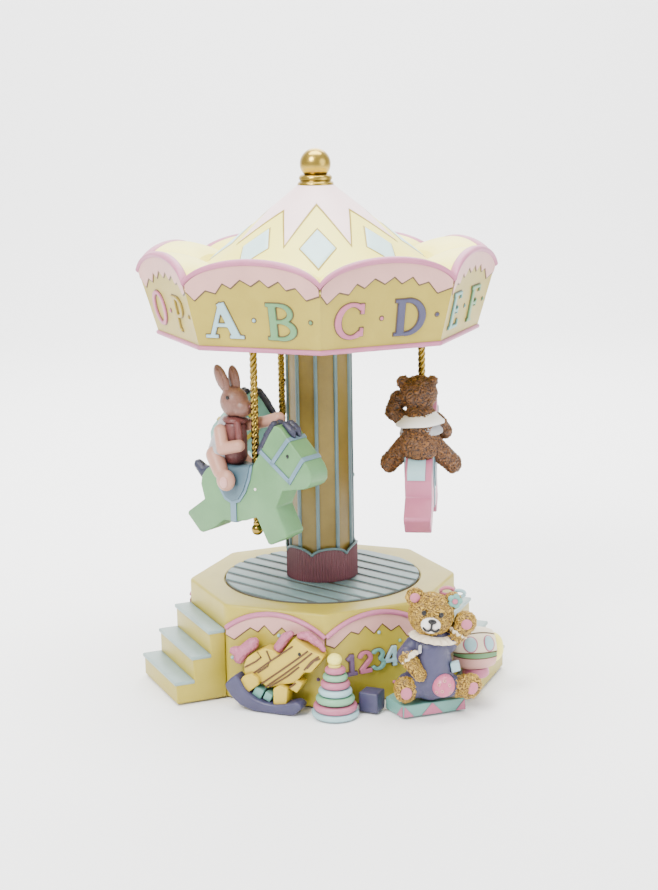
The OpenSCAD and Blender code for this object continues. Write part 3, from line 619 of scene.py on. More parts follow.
def stroke_outline(stroke, height, grow):
    kind, values = stroke[0], stroke[1:]
    if kind == "l":
        x0, y0, x1, y1, w = (v * height for v in values)
        d = Vector((x1 - x0, y1 - y0)).normalized()
        n = Vector((-d.y, d.x)) * (w / 2 + grow)
        a, b = Vector((x0, y0)) - d * grow, Vector((x1, y1)) + d * grow
        return [a + n, a - n, b - n, b + n]
    cx, cy, rx, ry, start, end, w = values
    inner, outer = [], []
    steps = 28
    for i in range(steps + 1):
        t = rad(start + (end - start) * i / steps)
        swell = w * (0.62 + 0.38 * abs(math.cos(t)))
        for side, into in ((-1, inner), (1, outer)):
            reach = side * (swell / 2 * height + grow)
            into.append(Vector((cx * height + (rx * height + reach) * math.cos(t),
                                cy * height + (ry * height + reach) * math.sin(t))))
    return inner + outer[::-1]


def relief_sign(sign, x, y, height, place, rise, grow=0.0, lean=0.0, wide=1.0):
    """Raised letter or numeral with softened edges, wrapped on a surface."""
    bars = [prism([(p.x, p.y) for p in stroke_outline(s, height, grow)], -1.2, rise)
            for s in LETTERS[sign]]
    mesh = modelled(bars, voxel=0.24, smooth=2)
    turn = rotation(lean, "Z")

    def put(p):
        q = turn @ Vector((p.x * wide, p.y, 0))
        return place(Vector((x + q.x, y + q.y, p.z)))
    return placed(mesh, put)


def stud(t, z, place, r=0.85, rise=0.9):
    return placed(ball((t, z, 0), (r, r, rise), detail=2), place)


def frieze_letters():
    """An alphabet that starts on the front left side, two letters to a side, each with a dot."""
    colours = [SKY, SAGE, PINK, NAVY, TEAL, SAGE, PINK, GOLD_LINE]
    letters = "ABCDEFGHIJKLMNOP"
    by_colour = {}
    lines = []
    size, foot, dot_z = 16.4, 170.9, 179.3
    for i, letter in enumerate(letters):
        side, second = divmod(i, 2)
        azimuth = -HALF_FACE + SIDE_ANGLE * side
        place = on_frieze(azimuth)
        x, dot = (4.2, 25.6) if second else (-24.0, -1.0)
        colour = colours[i % len(colours)]
        by_colour.setdefault(colour.name, (colour, []))[1].append(relief_sign(letter, x, foot, size,
                place, 0.95, wide=1.2))
        lines.append(relief_sign(letter, x, foot, size, place, 0.2, grow=0.45, wide=1.2))
        by_colour[colour.name][1].append(stud(dot, dot_z, place))
        lines.append(stud(dot, dot_z, place, r=1.3, rise=0.3))
    for name, (colour, meshes) in by_colour.items():
        finish_mesh("frieze_letters_" + name, join(meshes), colour, "carousel", 60)
    finish_mesh("frieze_letter_lines", join(lines), OUTLINE, "carousel", 60)


def on_cone(p):
    """(azimuth, distance out, lift) to a point on the roof's cone."""
    z = VALLEY_Z - 0.5 + CONE_SLOPE * (CONE_LOW_R - p[1])
    tilt = math.atan(CONE_SLOPE)
    return polar(p[1] + p[2] * math.sin(tilt), p[0], z + p[2] * math.cos(tilt))


CONE_COS = math.cos(math.atan(CONE_SLOPE))


def unrolled(a, r):
    """Point of the cone laid out flat, so that straight lines stay straight."""
    length, turn = r / CONE_COS, rad(a) * CONE_COS
    return Vector((length * math.sin(turn), length * math.cos(turn)))


def rolled(p, lift):
    return on_cone((math.degrees(math.atan2(p.x, p.y)) / CONE_COS, p.length * CONE_COS, lift))


PEAK_R, TIP_R = 19.0, 38.7
PEAK_SHIFT = (-1.7, 1.6, 0.2, -0.6, 0.4, -0.3, 0.5, 1.6)


def cone_pattern():
    def cap(extra, lift):
        tip = unrolled(HALF_FACE, TIP_R + extra * 2.2)
        steps = 24
        rows = []
        for corner in range(8):
            for k in range(2 * steps):
                share = k / steps if k < steps else 2 - k / steps
                turn_to = PEAK_SHIFT[corner if k < steps else (corner + 1) % 8]
                peak = unrolled(0, PEAK_R + turn_to + extra * 1.8)
                edge = peak + (tip - peak) * share
                off = math.degrees(math.atan2(edge.x, edge.y)) / CONE_COS
                a = CORNERS[corner] + (off if k < steps else SIDE_ANGLE - off)
                far = edge.length * CONE_COS
                rows.append([on_cone((a, r, h)) for r, h in [(8.2, -0.4), (8.2, lift)]
                             + [(8.2 + (far - 8.2) * s, lift) for s in (0.3, 0.6, 0.97)]
                             + [(far, lift * 0.5), (far, -0.4)]])
        return grid(rows)
    finish_mesh("roof_pink_cap", cap(0, 0.42), PALE_PINK, "carousel", 30)
    finish_mesh("roof_cap_line", cap(0.62, 0.25), GOLD_LINE, "carousel", 30)

    def lozenge(a, grow, lift):
        corners = [unrolled(0, 29.5 - grow * 1.3), unrolled(12.8 + grow * 1.1, 40.2),
                   unrolled(0, 51 + grow * 1.3), unrolled(-12.8 - grow * 1.1, 40.2)]
        n = 14
        turn = rotation(a, "Z")
        rows = []
        for i in range(n + 1):
            v = i / n
            left, right = corners[0].lerp(corners[3], v), corners[1].lerp(corners[2], v)
            row = []
            for k in range(n + 1):
                u = k / n
                edge_share = min(1.0, 12 * min(u, 1 - u, v, 1 - v))
                row.append(turn @ rolled(left.lerp(right, u), -0.3 + (lift + 0.3) * edge_share))
            rows.append(row)
        return grid(rows, closed_columns=False, closed_rows=False)
    finish_mesh("roof_lozenges", join([lozenge(a, 0, 0.5) for a in CORNERS]), LOZENGE, "carousel",
                60)
    finish_mesh("roof_lozenge_lines", join([lozenge(a, 0.75, 0.28) for a in CORNERS]), GOLD_LINE,
                "carousel", 60)


def finial():
    top = node_high("finial_ball").z
    z = CONE_TOP_Z
    r = 7.2
    collar = [(2.2, z - 0.6), (8.1, z - 0.6), (8.4, z), (8.4, z + 0.9), (8.0, z + 1.5), (7.3, z + 1.8),
              (7.2, z + 2.2), (7.7, z + 2.7), (7.75, z + 3.6), (7.4, z + 4.3), (6.5, z + 4.9),
              (2.2, z + 4.9)]
    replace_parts(finish_mesh("finial_collar_turned", turned(collar), GOLD, "carousel", 40),
                "finial_collar")
    sphere = [(r * math.cos(t), top - r + r * math.sin(t)) for t in np.linspace(rad(-62), rad(89), 40)]
    sphere = [(0.05, z - 5), (2.2, z - 5), (2.2, sphere[0][1])] + sphere + [(0.02, top)]
    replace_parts(finish_mesh("finial_ball_turned", turned(sphere), GOLD, "carousel", 40),
                "finial_ball")


# ---------- plinth ----------

PLINTH_R, PLINTH_TOP, FELT = 64.5, 45.4, 0.8
PLINTH_APOTHEM = PLINTH_R * math.cos(rad(HALF_FACE))
PLINTH_HALF = PLINTH_R * math.sin(rad(HALF_FACE))
TOY_FACE, NUMERAL_FACE = -HALF_FACE, HALF_FACE
# Sides without steps
BORDERED_FACES = (TOY_FACE, NUMERAL_FACE, 112.5, 157.5, -157.5, -112.5)
ARCH_LOW, ARCH_HIGH = 34.2, 43.2


def plinth_arch_z(t):
    rise = ARCH_HIGH - ARCH_LOW
    r = (PLINTH_HALF ** 2 + rise ** 2) / (2 * rise)
    return ARCH_HIGH - r + math.sqrt(r * r - t * t)


def plinth():
    edge = 1.3

    def profile(a):
        points = [(soft_octagon_r(PLINTH_R, a) - 0.5, FELT), (soft_octagon_r(PLINTH_R, a), FELT + 0.6)]
        points += [(soft_octagon_r(PLINTH_R, a), z) for z in (12, 24, 36, PLINTH_TOP - edge)]
        points += [(soft_octagon_r(PLINTH_R, a) - edge + edge * math.cos(t),
                    PLINTH_TOP - edge + edge * math.sin(t)) for t in (rad(22), rad(45), rad(68))]
        points += [(soft_octagon_r(PLINTH_R - edge * 1.08, a), PLINTH_TOP), (52, PLINTH_TOP),
                   (47.9, PLINTH_TOP), (47.4, PLINTH_TOP - 0.4), (47.4, 43.8), (4.0, 43.8), (4.0, 39.5),
                   (42, 39.5), (42, 15), (46, 15), (46, FELT)]
        return points
    body = finish_mesh("plinth_cast", ring_by_azimuth(profile, 720), YELLOW, "base", 30)
    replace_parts(body, "base_casting")

    beads, bands, lines = [], [], []
    zigzag = [(-PLINTH_HALF, 31.5), (-20.4, 29.4), (-12.1, 36.0), (-8.3, 34.3), (-5.1, 37.8),
              (-0.6, 33.5), (3.6, 37.6), (8.0, 33.6), (12.1, 35.6), (16.5, 29.6), (20.0, 32.2),
              (PLINTH_HALF, 29.2)]
    for azimuth in BORDERED_FACES:
        place = face_frame(azimuth, PLINTH_APOTHEM)
        path = [place @ Vector((t, plinth_arch_z(t), 0.35))
                for t in np.linspace(-PLINTH_HALF + 0.4,
                                     PLINTH_HALF - (2.4 if azimuth == -112.5 else 0.1), 60)]
        beads.append(sweep(path, 1.2))
        put = (lambda p, place=place: place @ p)
        half = PLINTH_HALF - 0.35
        bands.append(border(zigzag, plinth_arch_z, put, half, 0.0, 0.5))
        lines.append(border(zigzag, plinth_arch_z, put, half, 0.65, 0.2))
    finish_mesh("plinth_arch_beads", join(beads), ROSE, "base", 50)
    finish_mesh("plinth_borders", join(bands), BLUSH, "base", 30)
    finish_mesh("plinth_border_lines", join(lines), OUTLINE, "base", 30)

    spots = {"sky": (SKY, [(-21.6, 20.4), (2.0, 33.4)]),
             "violet": (VIOLET, [(20.9, 14.5), (-13.6, 11.0)]),
             "mint": (MINT, [(12.6, 28.0), (-2.5, 17.5)]), "pink": (PINK, [(-11.8, 27.5), (9.5, 8.4)])}
    for name, (colour, places) in spots.items():
        studs = []
        for azimuth in BORDERED_FACES:
            put = (lambda p, m=face_frame(azimuth, PLINTH_APOTHEM): m @ p)
            studs += [stud(t, z, put, 0.9, 0.95) for t, z in places if azimuth != NUMERAL_FACE
                      or not (-17 < t < 14 and 12 < z < 28)]
        finish_mesh("plinth_studs_" + name, join(studs), colour, "base", 60)

    put = (lambda p: face_frame(NUMERAL_FACE, PLINTH_APOTHEM) @ p)
    for sign, t, colour in (("1", -16.4, VIOLET), ("2", -9.7, PINK), ("3", -2.9, TEAL), ("4", 3.6, SKY)):
        foot = 14.8 + 0.06 * (t + 16)
        mesh = relief_sign(sign, t, foot, 10.6, put, 1.5, lean=1.5)
        line = relief_sign(sign, t, foot, 10.6, put, 0.3, grow=0.35, lean=1.5)
        finish_mesh("numeral_" + sign, mesh, colour, "base", 60)
        finish_mesh("numeral_line_" + sign, line, OUTLINE, "base", 60)


# From (out, up, along) of a cross-section to (along, up, out) of a side
SIDEWAYS = Matrix(((0, 0, -1, 0), (0, 1, 0, 0), (1, 0, 0, 0), (0, 0, 0, 1)))


def steps():
    reach_low, count = 85.0, 3
    run = (reach_low - PLINTH_APOTHEM) / count
    rise = (PLINTH_TOP - FELT) / (count + 1)
    half = PLINTH_HALF - 0.7
    tread, lip = 1.8, 0.9
    for side, azimuth in (("left", -67.5), ("right", 67.5)):
        place = face_frame(azimuth, PLINTH_APOTHEM + 0.01)
        solid = [(0, FELT)]
        treads = []
        for i in range(count):
            reach = run * (count - i) - 1
            top = FELT + rise * (i + 1) - 0.6
            solid += [(reach, FELT if i == 0 else solid[-1][1]), (reach, top - tread * 0.6)]
            inner = reach - run - 0.4 if i < count - 1 else 0
            treads.append(prism([(inner, top - tread), (reach + lip, top - tread), (reach + lip, top),
                                 (inner, top)], -half - 0.25, half + 0.25, bevel=0.55,
                                place=place @ SIDEWAYS))
        solid += [(0, solid[-1][1])]
        mesh = prism(solid, -half, half, bevel=0.6, place=place @ SIDEWAYS)
        flight = finish_mesh(side + "_flight", mesh, YELLOW, "base", 40)
        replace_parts(flight, side + "_steps")
        finish_mesh(side + "_treads", join(treads), STEP_BLUE, "base", 40)


# ---------- deck and column ----------

DECK_R, DECK_TOP = 46.9, node_high("turntable_disc").z


def deck():
    low = node_low("turntable_disc").z
    groove = [(1.6, low), (DECK_R - 0.5, low), (DECK_R, low + 0.5), (DECK_R, DECK_TOP - 0.75),
              (DECK_R - 0.4, DECK_TOP - 0.5), (1.6, DECK_TOP - 0.5)]
    # The dark disc under the boards is painted shade for the gaps between them and for its edge
    under = finish_mesh("deck_disc", turned(groove, 128), PLANK_GAP_SHADE, "carousel")
    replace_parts(under, "turntable_disc")
    count, angle = 10, -43
    width = 2 * DECK_R / count
    gap = 2.7
    turn = rotation(angle, "Z")
    boards = []
    for i in range(count):
        y0, y1 = -DECK_R + width * i + gap / 2, -DECK_R + width * (i + 1) - gap / 2
        ys = np.linspace(y0, y1, 9)
        r = DECK_R - 0.15
        outline = [(math.sqrt(max(0.1, r * r - y * y)), y) for y in ys]
        outline += [(-math.sqrt(max(0.1, r * r - y * y)), y) for y in ys[::-1]]
        boards.append(prism(outline, DECK_TOP - 1.0, DECK_TOP, bevel=0.45, place=turn))
    finish_mesh("deck_boards", join(boards), PLANK, "carousel", 40)


COLUMN_R, RIB_R, RIB_COUNT, RIB_AT = 15.2, 16.1, 10, -7
RIB_PITCH = 360 / RIB_COUNT
SKIRT_R, SKIRT_TOP, SCALLOP_LOW, SCALLOPS, SCALLOP_AT = 17.2, 63.0, 58.5, 6, 12.6


def scallop_z(a):
    pitch = 360 / SCALLOPS
    u = 2 * (((a - SCALLOP_AT) / pitch + 0.5) % 1) - 1
    return SCALLOP_LOW + (SKIRT_TOP - SCALLOP_LOW) * math.sqrt(1 - 0.94 * u * u)


def column():
    low, high = DECK_TOP, node_high("column").z

    def panel_r(a):
        off = ((a - RIB_AT) / RIB_PITCH) % 1
        return COLUMN_R - 0.55 * math.sin(math.pi * off) ** 0.8

    core = ring_by_azimuth(lambda a: [(12.2, low), (panel_r(a), low), (panel_r(a), (low + high) / 2),
                                      (panel_r(a), high), (12.2, high)], 240)
    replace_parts(finish_mesh("column_core", core, MUSTARD, "carousel", 40), "column")
    ribs = []
    for k in range(RIB_COUNT):
        outline = [(-0.9, COLUMN_R - 0.8), (0.9, COLUMN_R - 0.8), (0.8, RIB_R - 0.25), (0.5, RIB_R),
                   (-0.5, RIB_R), (-0.8, RIB_R - 0.25)]
        turn = rotation(RIB_AT + RIB_PITCH * k + 180, "Z")
        ribs.append(prism(outline, low, high, place=turn))
    finish_mesh("column_ribs", join(ribs), RIB, "carousel", 50)

    pleats = 78

    def pleat(a):
        fold = SKIRT_R - 0.5 * abs(math.sin(math.pi * pleats * a / 360))
        top = scallop_z(a) - 0.4
        return [(16.2, low), (fold, low), (fold, low + 4), (fold, (low + top) / 2), (fold, top),
                (16.2, top)]
    skirt = ring_by_azimuth(pleat, pleats * 6)
    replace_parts(finish_mesh("column_skirt_pleats", skirt, MAROON, "carousel", 60),
                "column_skirt")
    edge = [polar(SKIRT_R - 0.25, a, scallop_z(a) - 0.2) for a in np.arange(0, 360, 1.0)]
    finish_mesh("column_skirt_bead", sweep(edge, 0.62, closed=True), RIB, "carousel", 50)


# ---------- poles ----------

POLE_AT = (-38, 82, 202)
POLE_CIRCLE, POLE_R, KNOB_R = 48.7, 1.8, 2.75


def at_pole(i):
    """Matrix from a rider's own frame (+X its way of travel, -Y outwards, pole at x 0) to the object."""
    return rotation(POLE_AT[i], "Z") @ Matrix.Translation((0, -POLE_CIRCLE, 0))


def poles():
    strands, lead, sides = 4, 11.0, 40
    for i in range(3):
        name = "pole_%d" % (i + 1)
        low, high = node_low(name).z, node_high(name).z
        rows = []
        steps = int((high - low) / 0.45)
        for k in range(steps + 1):
            z = low + (high - low) * k / steps
            row = []
            for t in around(sides):
                groove = abs(math.cos(strands / 2 * (t - 2 * math.pi * z / lead)))
                r = POLE_R - 0.75 * (1 - groove ** 0.8)
                row.append(at_pole(i) @ Vector((r * math.cos(t), r * math.sin(t), z)))
            rows.append(row)
        rope = finish_mesh(name + "_rope", grid(rows, closed_columns=False), BRASS_ROPE, "carousel",
                           60)
        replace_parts(rope, name)
        knob = "pole_ball_%d" % (i + 1)
        z = node_low(knob).z + KNOB_R
        profile = [(0.02, z - KNOB_R)] + [(KNOB_R * math.cos(t), z + KNOB_R * math.sin(t))
                                          for t in np.linspace(rad(-88), rad(52), 24)]
        profile += [(1.9, z + 2.5), (1.9, z + 3.4), (0.02, z + 3.4)]
        mesh = placed(turned(profile, 48), at_pole(i))
        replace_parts(finish_mesh(knob + "_turned", mesh, BRASS_ROPE, "carousel", 40),
                    knob)


# ---------- animals on the poles ----------

# Paints with a cavity weight also darken the stored curl grooves with painted shade
FUR_GOLD = painted("golden_fur_paint", (0.64, 0.385, 0.035), speckle_and_shade=(0.038, 0.012, 0.0015), mottle=0.10,
                   rough=0.42, cavity=1.0, painted_shade_amount=0.5)
FUR_BROWN = painted("brown_fur_paint", (0.24, 0.088, 0.01), speckle_and_shade=(0.012, 0.004, 0.001), mottle=0.16,
                    rough=0.45, cavity=1.0, painted_shade_amount=0.5)
RABBIT_DARK = painted("rabbit_head_paint", (0.23, 0.105, 0.075), speckle_and_shade=(0.07, 0.028, 0.018), mottle=0.16,
                      cavity=0.3)
RABBIT_PALE = painted("rabbit_limb_paint", (0.48, 0.245, 0.175), speckle_and_shade=(0.2, 0.07, 0.045), mottle=0.10)
SADDLE = painted("saddle_paint", (0.085, 0.155, 0.2), speckle_and_shade=(0.016, 0.04, 0.055), mottle=0.14)
GREY_WHITE = painted("bloomers_paint", (0.42, 0.42, 0.44), speckle_and_shade=(0.2, 0.19, 0.2), mottle=0.12)
SCARF = painted("vest_paint", (0.15, 0.038, 0.034), speckle_and_shade=(0.035, 0.01, 0.009), mottle=0.18)
PUPPY_COAT = painted("puppy_coat_paint", (0.72, 0.70, 0.66), speckle_and_shade=(0.2, 0.18, 0.15), mottle=0.08,
                     cavity=0.5)
PINK_BALL = painted("ball_paint", (0.54, 0.115, 0.215), speckle_and_shade=(0.22, 0.035, 0.075), mottle=0.12, rough=0.3)
PAD = painted("pad_paint", (0.5, 0.145, 0.215), speckle_and_shade=(0.2, 0.045, 0.065), mottle=0.1)
TOY_WOOD = painted("toy_wood_paint", (0.58, 0.42, 0.032), speckle_and_shade=(0.17, 0.08, 0.008), mottle=0.09)
BROWN_LINE = painted("brown_line_paint", (0.085, 0.03, 0.007), mottle=0.15, rough=0.5)
CREAM = painted("cream_paint", (0.80, 0.70, 0.52), speckle_and_shade=(0.35, 0.22, 0.12), mottle=0.07)

ANIMAL_T = 12.5
UPRIGHT = Matrix(((1, 0, 0, 0), (0, 0, -1, 0), (0, 1, 0, 0), (0, 0, 0, 1)))
HORSE = [(17.5, 130.3), (20, 129), (24.5, 124), (31, 117.5), (35, 113.2), (36.4, 110), (36.3, 106.6),
         (34.8, 104.4), (32.5, 103.1), (26, 101.8), (20, 100.8), (16.1, 92.8), (22.2, 81), (21.4, 79.2),
         (12.6, 74.6), (11.0, 75.0), (4.6, 86.5), (-2, 84), (-8, 82.8), (-14.8, 82.6), (-21.3, 77.7),
         (-28.2, 74.7), (-30, 75.2), (-37, 82.4), (-36.8, 83.8), (-26.4, 91.1), (-28.4, 98.2),
         (-27.6, 102), (-25, 105.4), (-21.8, 107.6), (-18, 108.8), (-8, 107.4), (2.8, 110), (8, 117.7),
         (13, 126), (16, 130)]


def strip(points, width):
    """Outline of a band of one width along points."""
    left, right = [], []
    for i, p in enumerate(points):
        p = Vector(p)
        before = Vector(points[max(0, i - 1)])
        after = Vector(points[min(len(points) - 1, i + 1)])
        d = (after - before).normalized()
        n = Vector((-d.y, d.x)) * width / 2
        left.append(tuple(p + n))
        right.append(tuple(p - n))
    return left + right[::-1]


def common(a, b, operation="INTERSECT"):
    other = linked("cutter", b)
    mesh = evaluated(a, [("BOOLEAN", {"operation": operation, "object": other, "solver": "EXACT"})])
    bpy.data.objects.remove(other)
    return mesh


def grown(mesh, by):
    return evaluated(mesh, [("DISPLACE", {"strength": by * MM, "mid_level": 0.0})])


def trim(body, outline, by, half=20, bevel=0.0):
    """Raised trim: the grown body cut to an outline seen from the side."""
    return common(grown(body.copy(), by), prism(outline, -half, half, place=UPRIGHT, bevel=bevel))


def horse(i, node, coat, saddle, trimming, hair, patch=None):
    place = at_pole(i)
    rough = prism(HORSE, -ANIMAL_T / 2, ANIMAL_T / 2, place=UPRIGHT, bevel=1.1, segments=4)
    cut = turned([(0.01, 70), (POLE_R + 0.05, 70), (POLE_R + 0.05, 76), (2.9, 76.2), (2.9, 82),
                  (POLE_R + 0.05, 82.2), (POLE_R + 0.05, 140), (0.01, 140)], 32)
    body = common(rough.copy(), cut, "DIFFERENCE")
    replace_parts(finish_mesh(node + "_body", placed(body, place), coat, "carousel", 32),
                node)

    def add(part, mesh, paint, angle=35):
        finish_mesh(node + "_" + part, placed(mesh, place), paint, "carousel", angle)

    seat = [(-20, 116), (-19.2, 105.5), (-17.0, 98), (-13.6, 92.8), (-9, 91.0), (-4.6, 92.6),
            (-1.0, 97.4), (1.7, 103.6), (3.0, 109), (3.4, 116)]
    pad = [(-18.6, 116), (-17.9, 105.5), (-15.8, 98.8), (-12.8, 94.2), (-9, 92.5), (-5.2, 94.0),
           (-2.2, 98.2), (0.3, 104), (1.7, 109.4), (2.0, 116)]
    keep_off = turned([(0.01, 70), (2.1, 70), (2.1, 140), (0.01, 140)], 24)
    add("saddle_edge", common(trim(rough, seat, 0.55), keep_off.copy(), "DIFFERENCE"), trimming)
    add("saddle", common(trim(rough, pad, 1.0), keep_off, "DIFFERENCE"), saddle)
    add("girth", trim(rough, strip([(-8.5, 94), (-8.5, 80)], 3.3), 0.5), trimming)
    straps = [strip([(7.4, 118.2), (25.2, 105.0)], 1.9), strip([(24.2, 124.8), (14.0, 112.0)], 1.9),
              strip([(33.4, 118.3), (24.0, 104.8)], 1.9)]
    add("straps", join([trim(rough, s, 0.5) for s in straps]), trimming)
    if patch:
        rump = [(-40, 99.5), (-22, 99.5), (-20, 112), (-40, 112)]
        spot = common(grown(rough.copy(), 0.45), prism(rump, -5.0, 3.2, place=UPRIGHT))
        add("rump_patch", spot, patch)
    eyes = [ball((23.4, s * ANIMAL_T / 2, 117.0), (0.85, 0.45, 0.95), detail=2) for s in (-1, 1)]
    add("eyes", join(eyes), BLACK)
    dots = [ball((4.4, s * ANIMAL_T / 2, 99.6), (0.75, 0.5, 0.75), detail=2) for s in (-1, 1)]
    add("dots", join(dots), WHITE)
    locks = []
    for s in (-0.6, 0.6):
        w = s * 3.2
        locks += [*chain(((5.4, w, 116.5), 2.2), ((9.4, w, 123.5), 2.5), ((13.0, w, 129.4), 2.1)),
                  limb((19.4, w, 130.4), (22.6, w, 127.8), 1.6, 1.9),
                  limb((22.6, w, 127.8), (23.8, w, 125.8), 1.8, 1.2)]
    tail = chain(((-24.5, 0, 103.5), 2.6), ((-30.5, 0, 102.4), 3.0), ((-34.4, 0, 105.6), 2.3))
    add("mane", curls(modelled(locks, 0.4, 3), 0.35, 1.9, i), hair, 80)
    if not patch:
        add("tail", curls(modelled(tail, 0.4, 3), 0.35, 1.9, i + 4), hair, 80)


class Figure:
    """Pieces of one rider or toy: each is modelled in its own frame, then placed."""

    def __init__(self, name, body, place=None):
        self.name, self.body, self.place = name, body, place

    def add(self, part, meshes, paint, slot, voxel=0.4, smooth=4, fur=None, angle=80):
        mesh = modelled(meshes, voxel, smooth)
        if fur:
            curls(mesh, *fur)
        return finish_mesh(self.name + "_" + part, placed(mesh, self.place), paint, self.body,
                           angle)


def frill(centre, inner, outer, low, high, waves, tilt=None, depth=0.7, thick=0.7):
    """Pleated collar or cuff round +Z at centre, tilted by a matrix; inner/outer are (x, y) radii."""
    rows = []
    for t in around(waves * 8):
        wave = math.sin(waves * t)
        row = []
        for s in (0.0, 0.35, 0.7, 1.0):
            rx = inner[0] + (outer[0] - inner[0]) * s + depth * wave * s
            ry = inner[1] + (outer[1] - inner[1]) * s + depth * wave * s
            row.append((rx, ry, high + (low - high) * s ** 1.3 + 0.5 * depth * wave * s))
        under = [(rx - 0.1, ry - 0.1, z - thick) for rx, ry, z in row[::-1]]
        rows.append([Vector((rx * math.cos(t), ry * math.sin(t), z)) for rx, ry, z in row + under])
    mesh = grid(rows)
    turn = Matrix.Translation(Vector(centre)) @ (tilt or Matrix.Identity(4))
    return placed(mesh, turn)


def rabbit():
    f = Figure("rabbit", "carousel", at_pole(0))
    head = [ball((-11.8, 0, 137.4), (6.9, 6.2, 7.2)), ball((-7.6, 0, 135.2), (5.4, 4.6, 4.5)),
            ball((-16.9, -2.4, 148.0), (3.4, 1.8, 7.2), rotation(-29, "Y")),
            ball((-12.9, 1.6, 147.6), (3.2, 1.8, 6.6), rotation(-12, "Y"))]
    node = f.add("head", head, RABBIT_DARK, "rabbit_resin", fur=(0.16, 1.2, 3))
    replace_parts(node, "rabbit_rider")
    f.add("ear_linings", [ball((-17.0, -3.9, 148.4), (1.8, 0.6, 5.0), rotation(-29, "Y")),
                          ball((-13.0, 0.1, 148.4), (1.6, 0.6, 4.4), rotation(-12, "Y"))], RABBIT_DARK,
          "rabbit_resin", voxel=0.3)
    limbs = []
    near_arm = (((-15.4, -6.2, 124.6), 3.1), ((-12.2, -8.6, 117.0), 3.0), ((-4.4, -6.4, 118.8), 2.9))
    far_arm = (((-13.5, 6, 125), 3.0), ((1.5, 6.2, 128.6), 2.7), ((10.2, 4.8, 131.4), 2.8))
    for s, arm in ((-1, near_arm), (1, far_arm)):
        limbs += chain(*arm)
        limbs += [limb((-18.8, s * 6.4, 113), (-13.2, s * 9.4, 106.5), 4.3, 3.6),
                  ball((-9.2, s * 10.6, 103.0), (4.9, 3.3, 5.1), rotation(18, "Y"))]
    limbs.append(ball((-25.6, 0, 112), 2.9))
    f.add("limbs", limbs, RABBIT_PALE, "rabbit_resin")
    f.add("soles", [ball((-8.3, s * 13.3, 102.6), (2.3, 0.9, 2.8)) for s in (-1, 1)], BLUSH, "pink_resin",
          0.25)
    f.add("bloomers", [*chain(((-19, 0, 113.8), 7.2), ((-16.8, 0, 120.5), 6.4), ((-16, 0, 126), 4.9)),
                       ball((-17.5, -5.4, 113.6), 4.5), ball((-17.5, 5.4, 113.6), 4.5)], GREY_WHITE,
          "white_plastic", fur=(0.25, 4.2, 9))
    f.add("vest", [limb((-12.6, 0, 113.5), (-11.8, 0, 125.0), 6.2, 5.4)], SCARF, "rose_resin",
          fur=(0.3, 3.4, 5))
    scarf = [ball((-11.6, 0, 129.2), (6.2, 5.6, 2.2)), limb((-7.2, -3.6, 128.4), (-5.4, -4.4, 120.5), 1.5,
                                                            1.9)]
    f.add("scarf", scarf, SCARF, "rose_resin", fur=(0.25, 2.6, 2))
    f.add("eyes", [ball((-11.0, s * 5.75, 140.2), (0.95, 0.7, 1.0)) for s in (-1, 1)], BLACK,
          "black_plastic", 0.25, 1)
    f.add("nose", [ball((-2.3, 0, 136.2), (1.0, 1.3, 0.9))], SCARF, "rose_resin", 0.25, 1)


def bear_rider():
    f = Figure("brown_bear", "carousel", at_pole(1))
    parts = [ball((-9.6, 0.8, 137.0), (7.9, 8.8, 8.4)), ball((-5.4, 0.6, 134.6), (3.3, 4.2, 3.6)),
             ball((-9.6, 7.8, 142.2), (2.4, 3.2, 3.3)), ball((-9.6, -5.6, 142.8), (2.3, 2.6, 2.6)),
             limb((-15.5, 0, 114.6), (-11.8, 0, 126), 9.6, 7.4),
             *chain(((-11.5, 7.6, 124.6), 3.7), ((-10, 12.8, 128.4), 3.7), ((-8, 10.4, 134.2), 3.8)),
             limb((-11, -7.8, 124.4), (-7, -11.0, 118.6), 3.7, 3.6),
             limb((-7, -11.0, 118.6), (-4.2, -6.8, 117.8), 3.4, 3.0)]
    for s in (-1, 1):
        parts += [limb((-15.6, s * 5.8, 113.8), (-10.5, s * 13.2, 105.6), 5.2, 4.3),
                  ball((-8.6, s * 14.8, 103.6), (4.6, 4.2, 4.7))]
    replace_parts(f.add("fur", parts, FUR_BROWN, "brown_fur_resin", voxel=0.34, smooth=2,
                      fur=(0.95, 1.5, 1)), "bear_rider")
    f.add("soles", [ball((-4.9, s * 15.6, 103.2), (1.0, 2.7, 3.1)) for s in (-1, 1)], PAD, "pink_resin",
          0.3)
    tilt = rotation(-5, "X")
    collar = frill((-12.0, 0, 126.9), (5.8, 6.6), (10.8, 11.6), -2.6, 1.6, 5, tilt, depth=0.35, thick=1.2)
    finish_mesh("brown_bear_collar", placed(collar, f.place), WHITE, "carousel", 60)
    # The grey lower frill is painted shade: the shadowed fold under the white collar
    under = frill((-12.4, 0, 123.6), (7.0, 7.8), (10.7, 10.2), -3.8, 1.2, 7, tilt, depth=0.15, thick=1.4)
    finish_mesh("brown_bear_collar_shade_fold", placed(under, f.place), GREY_WHITE, "carousel", 60)


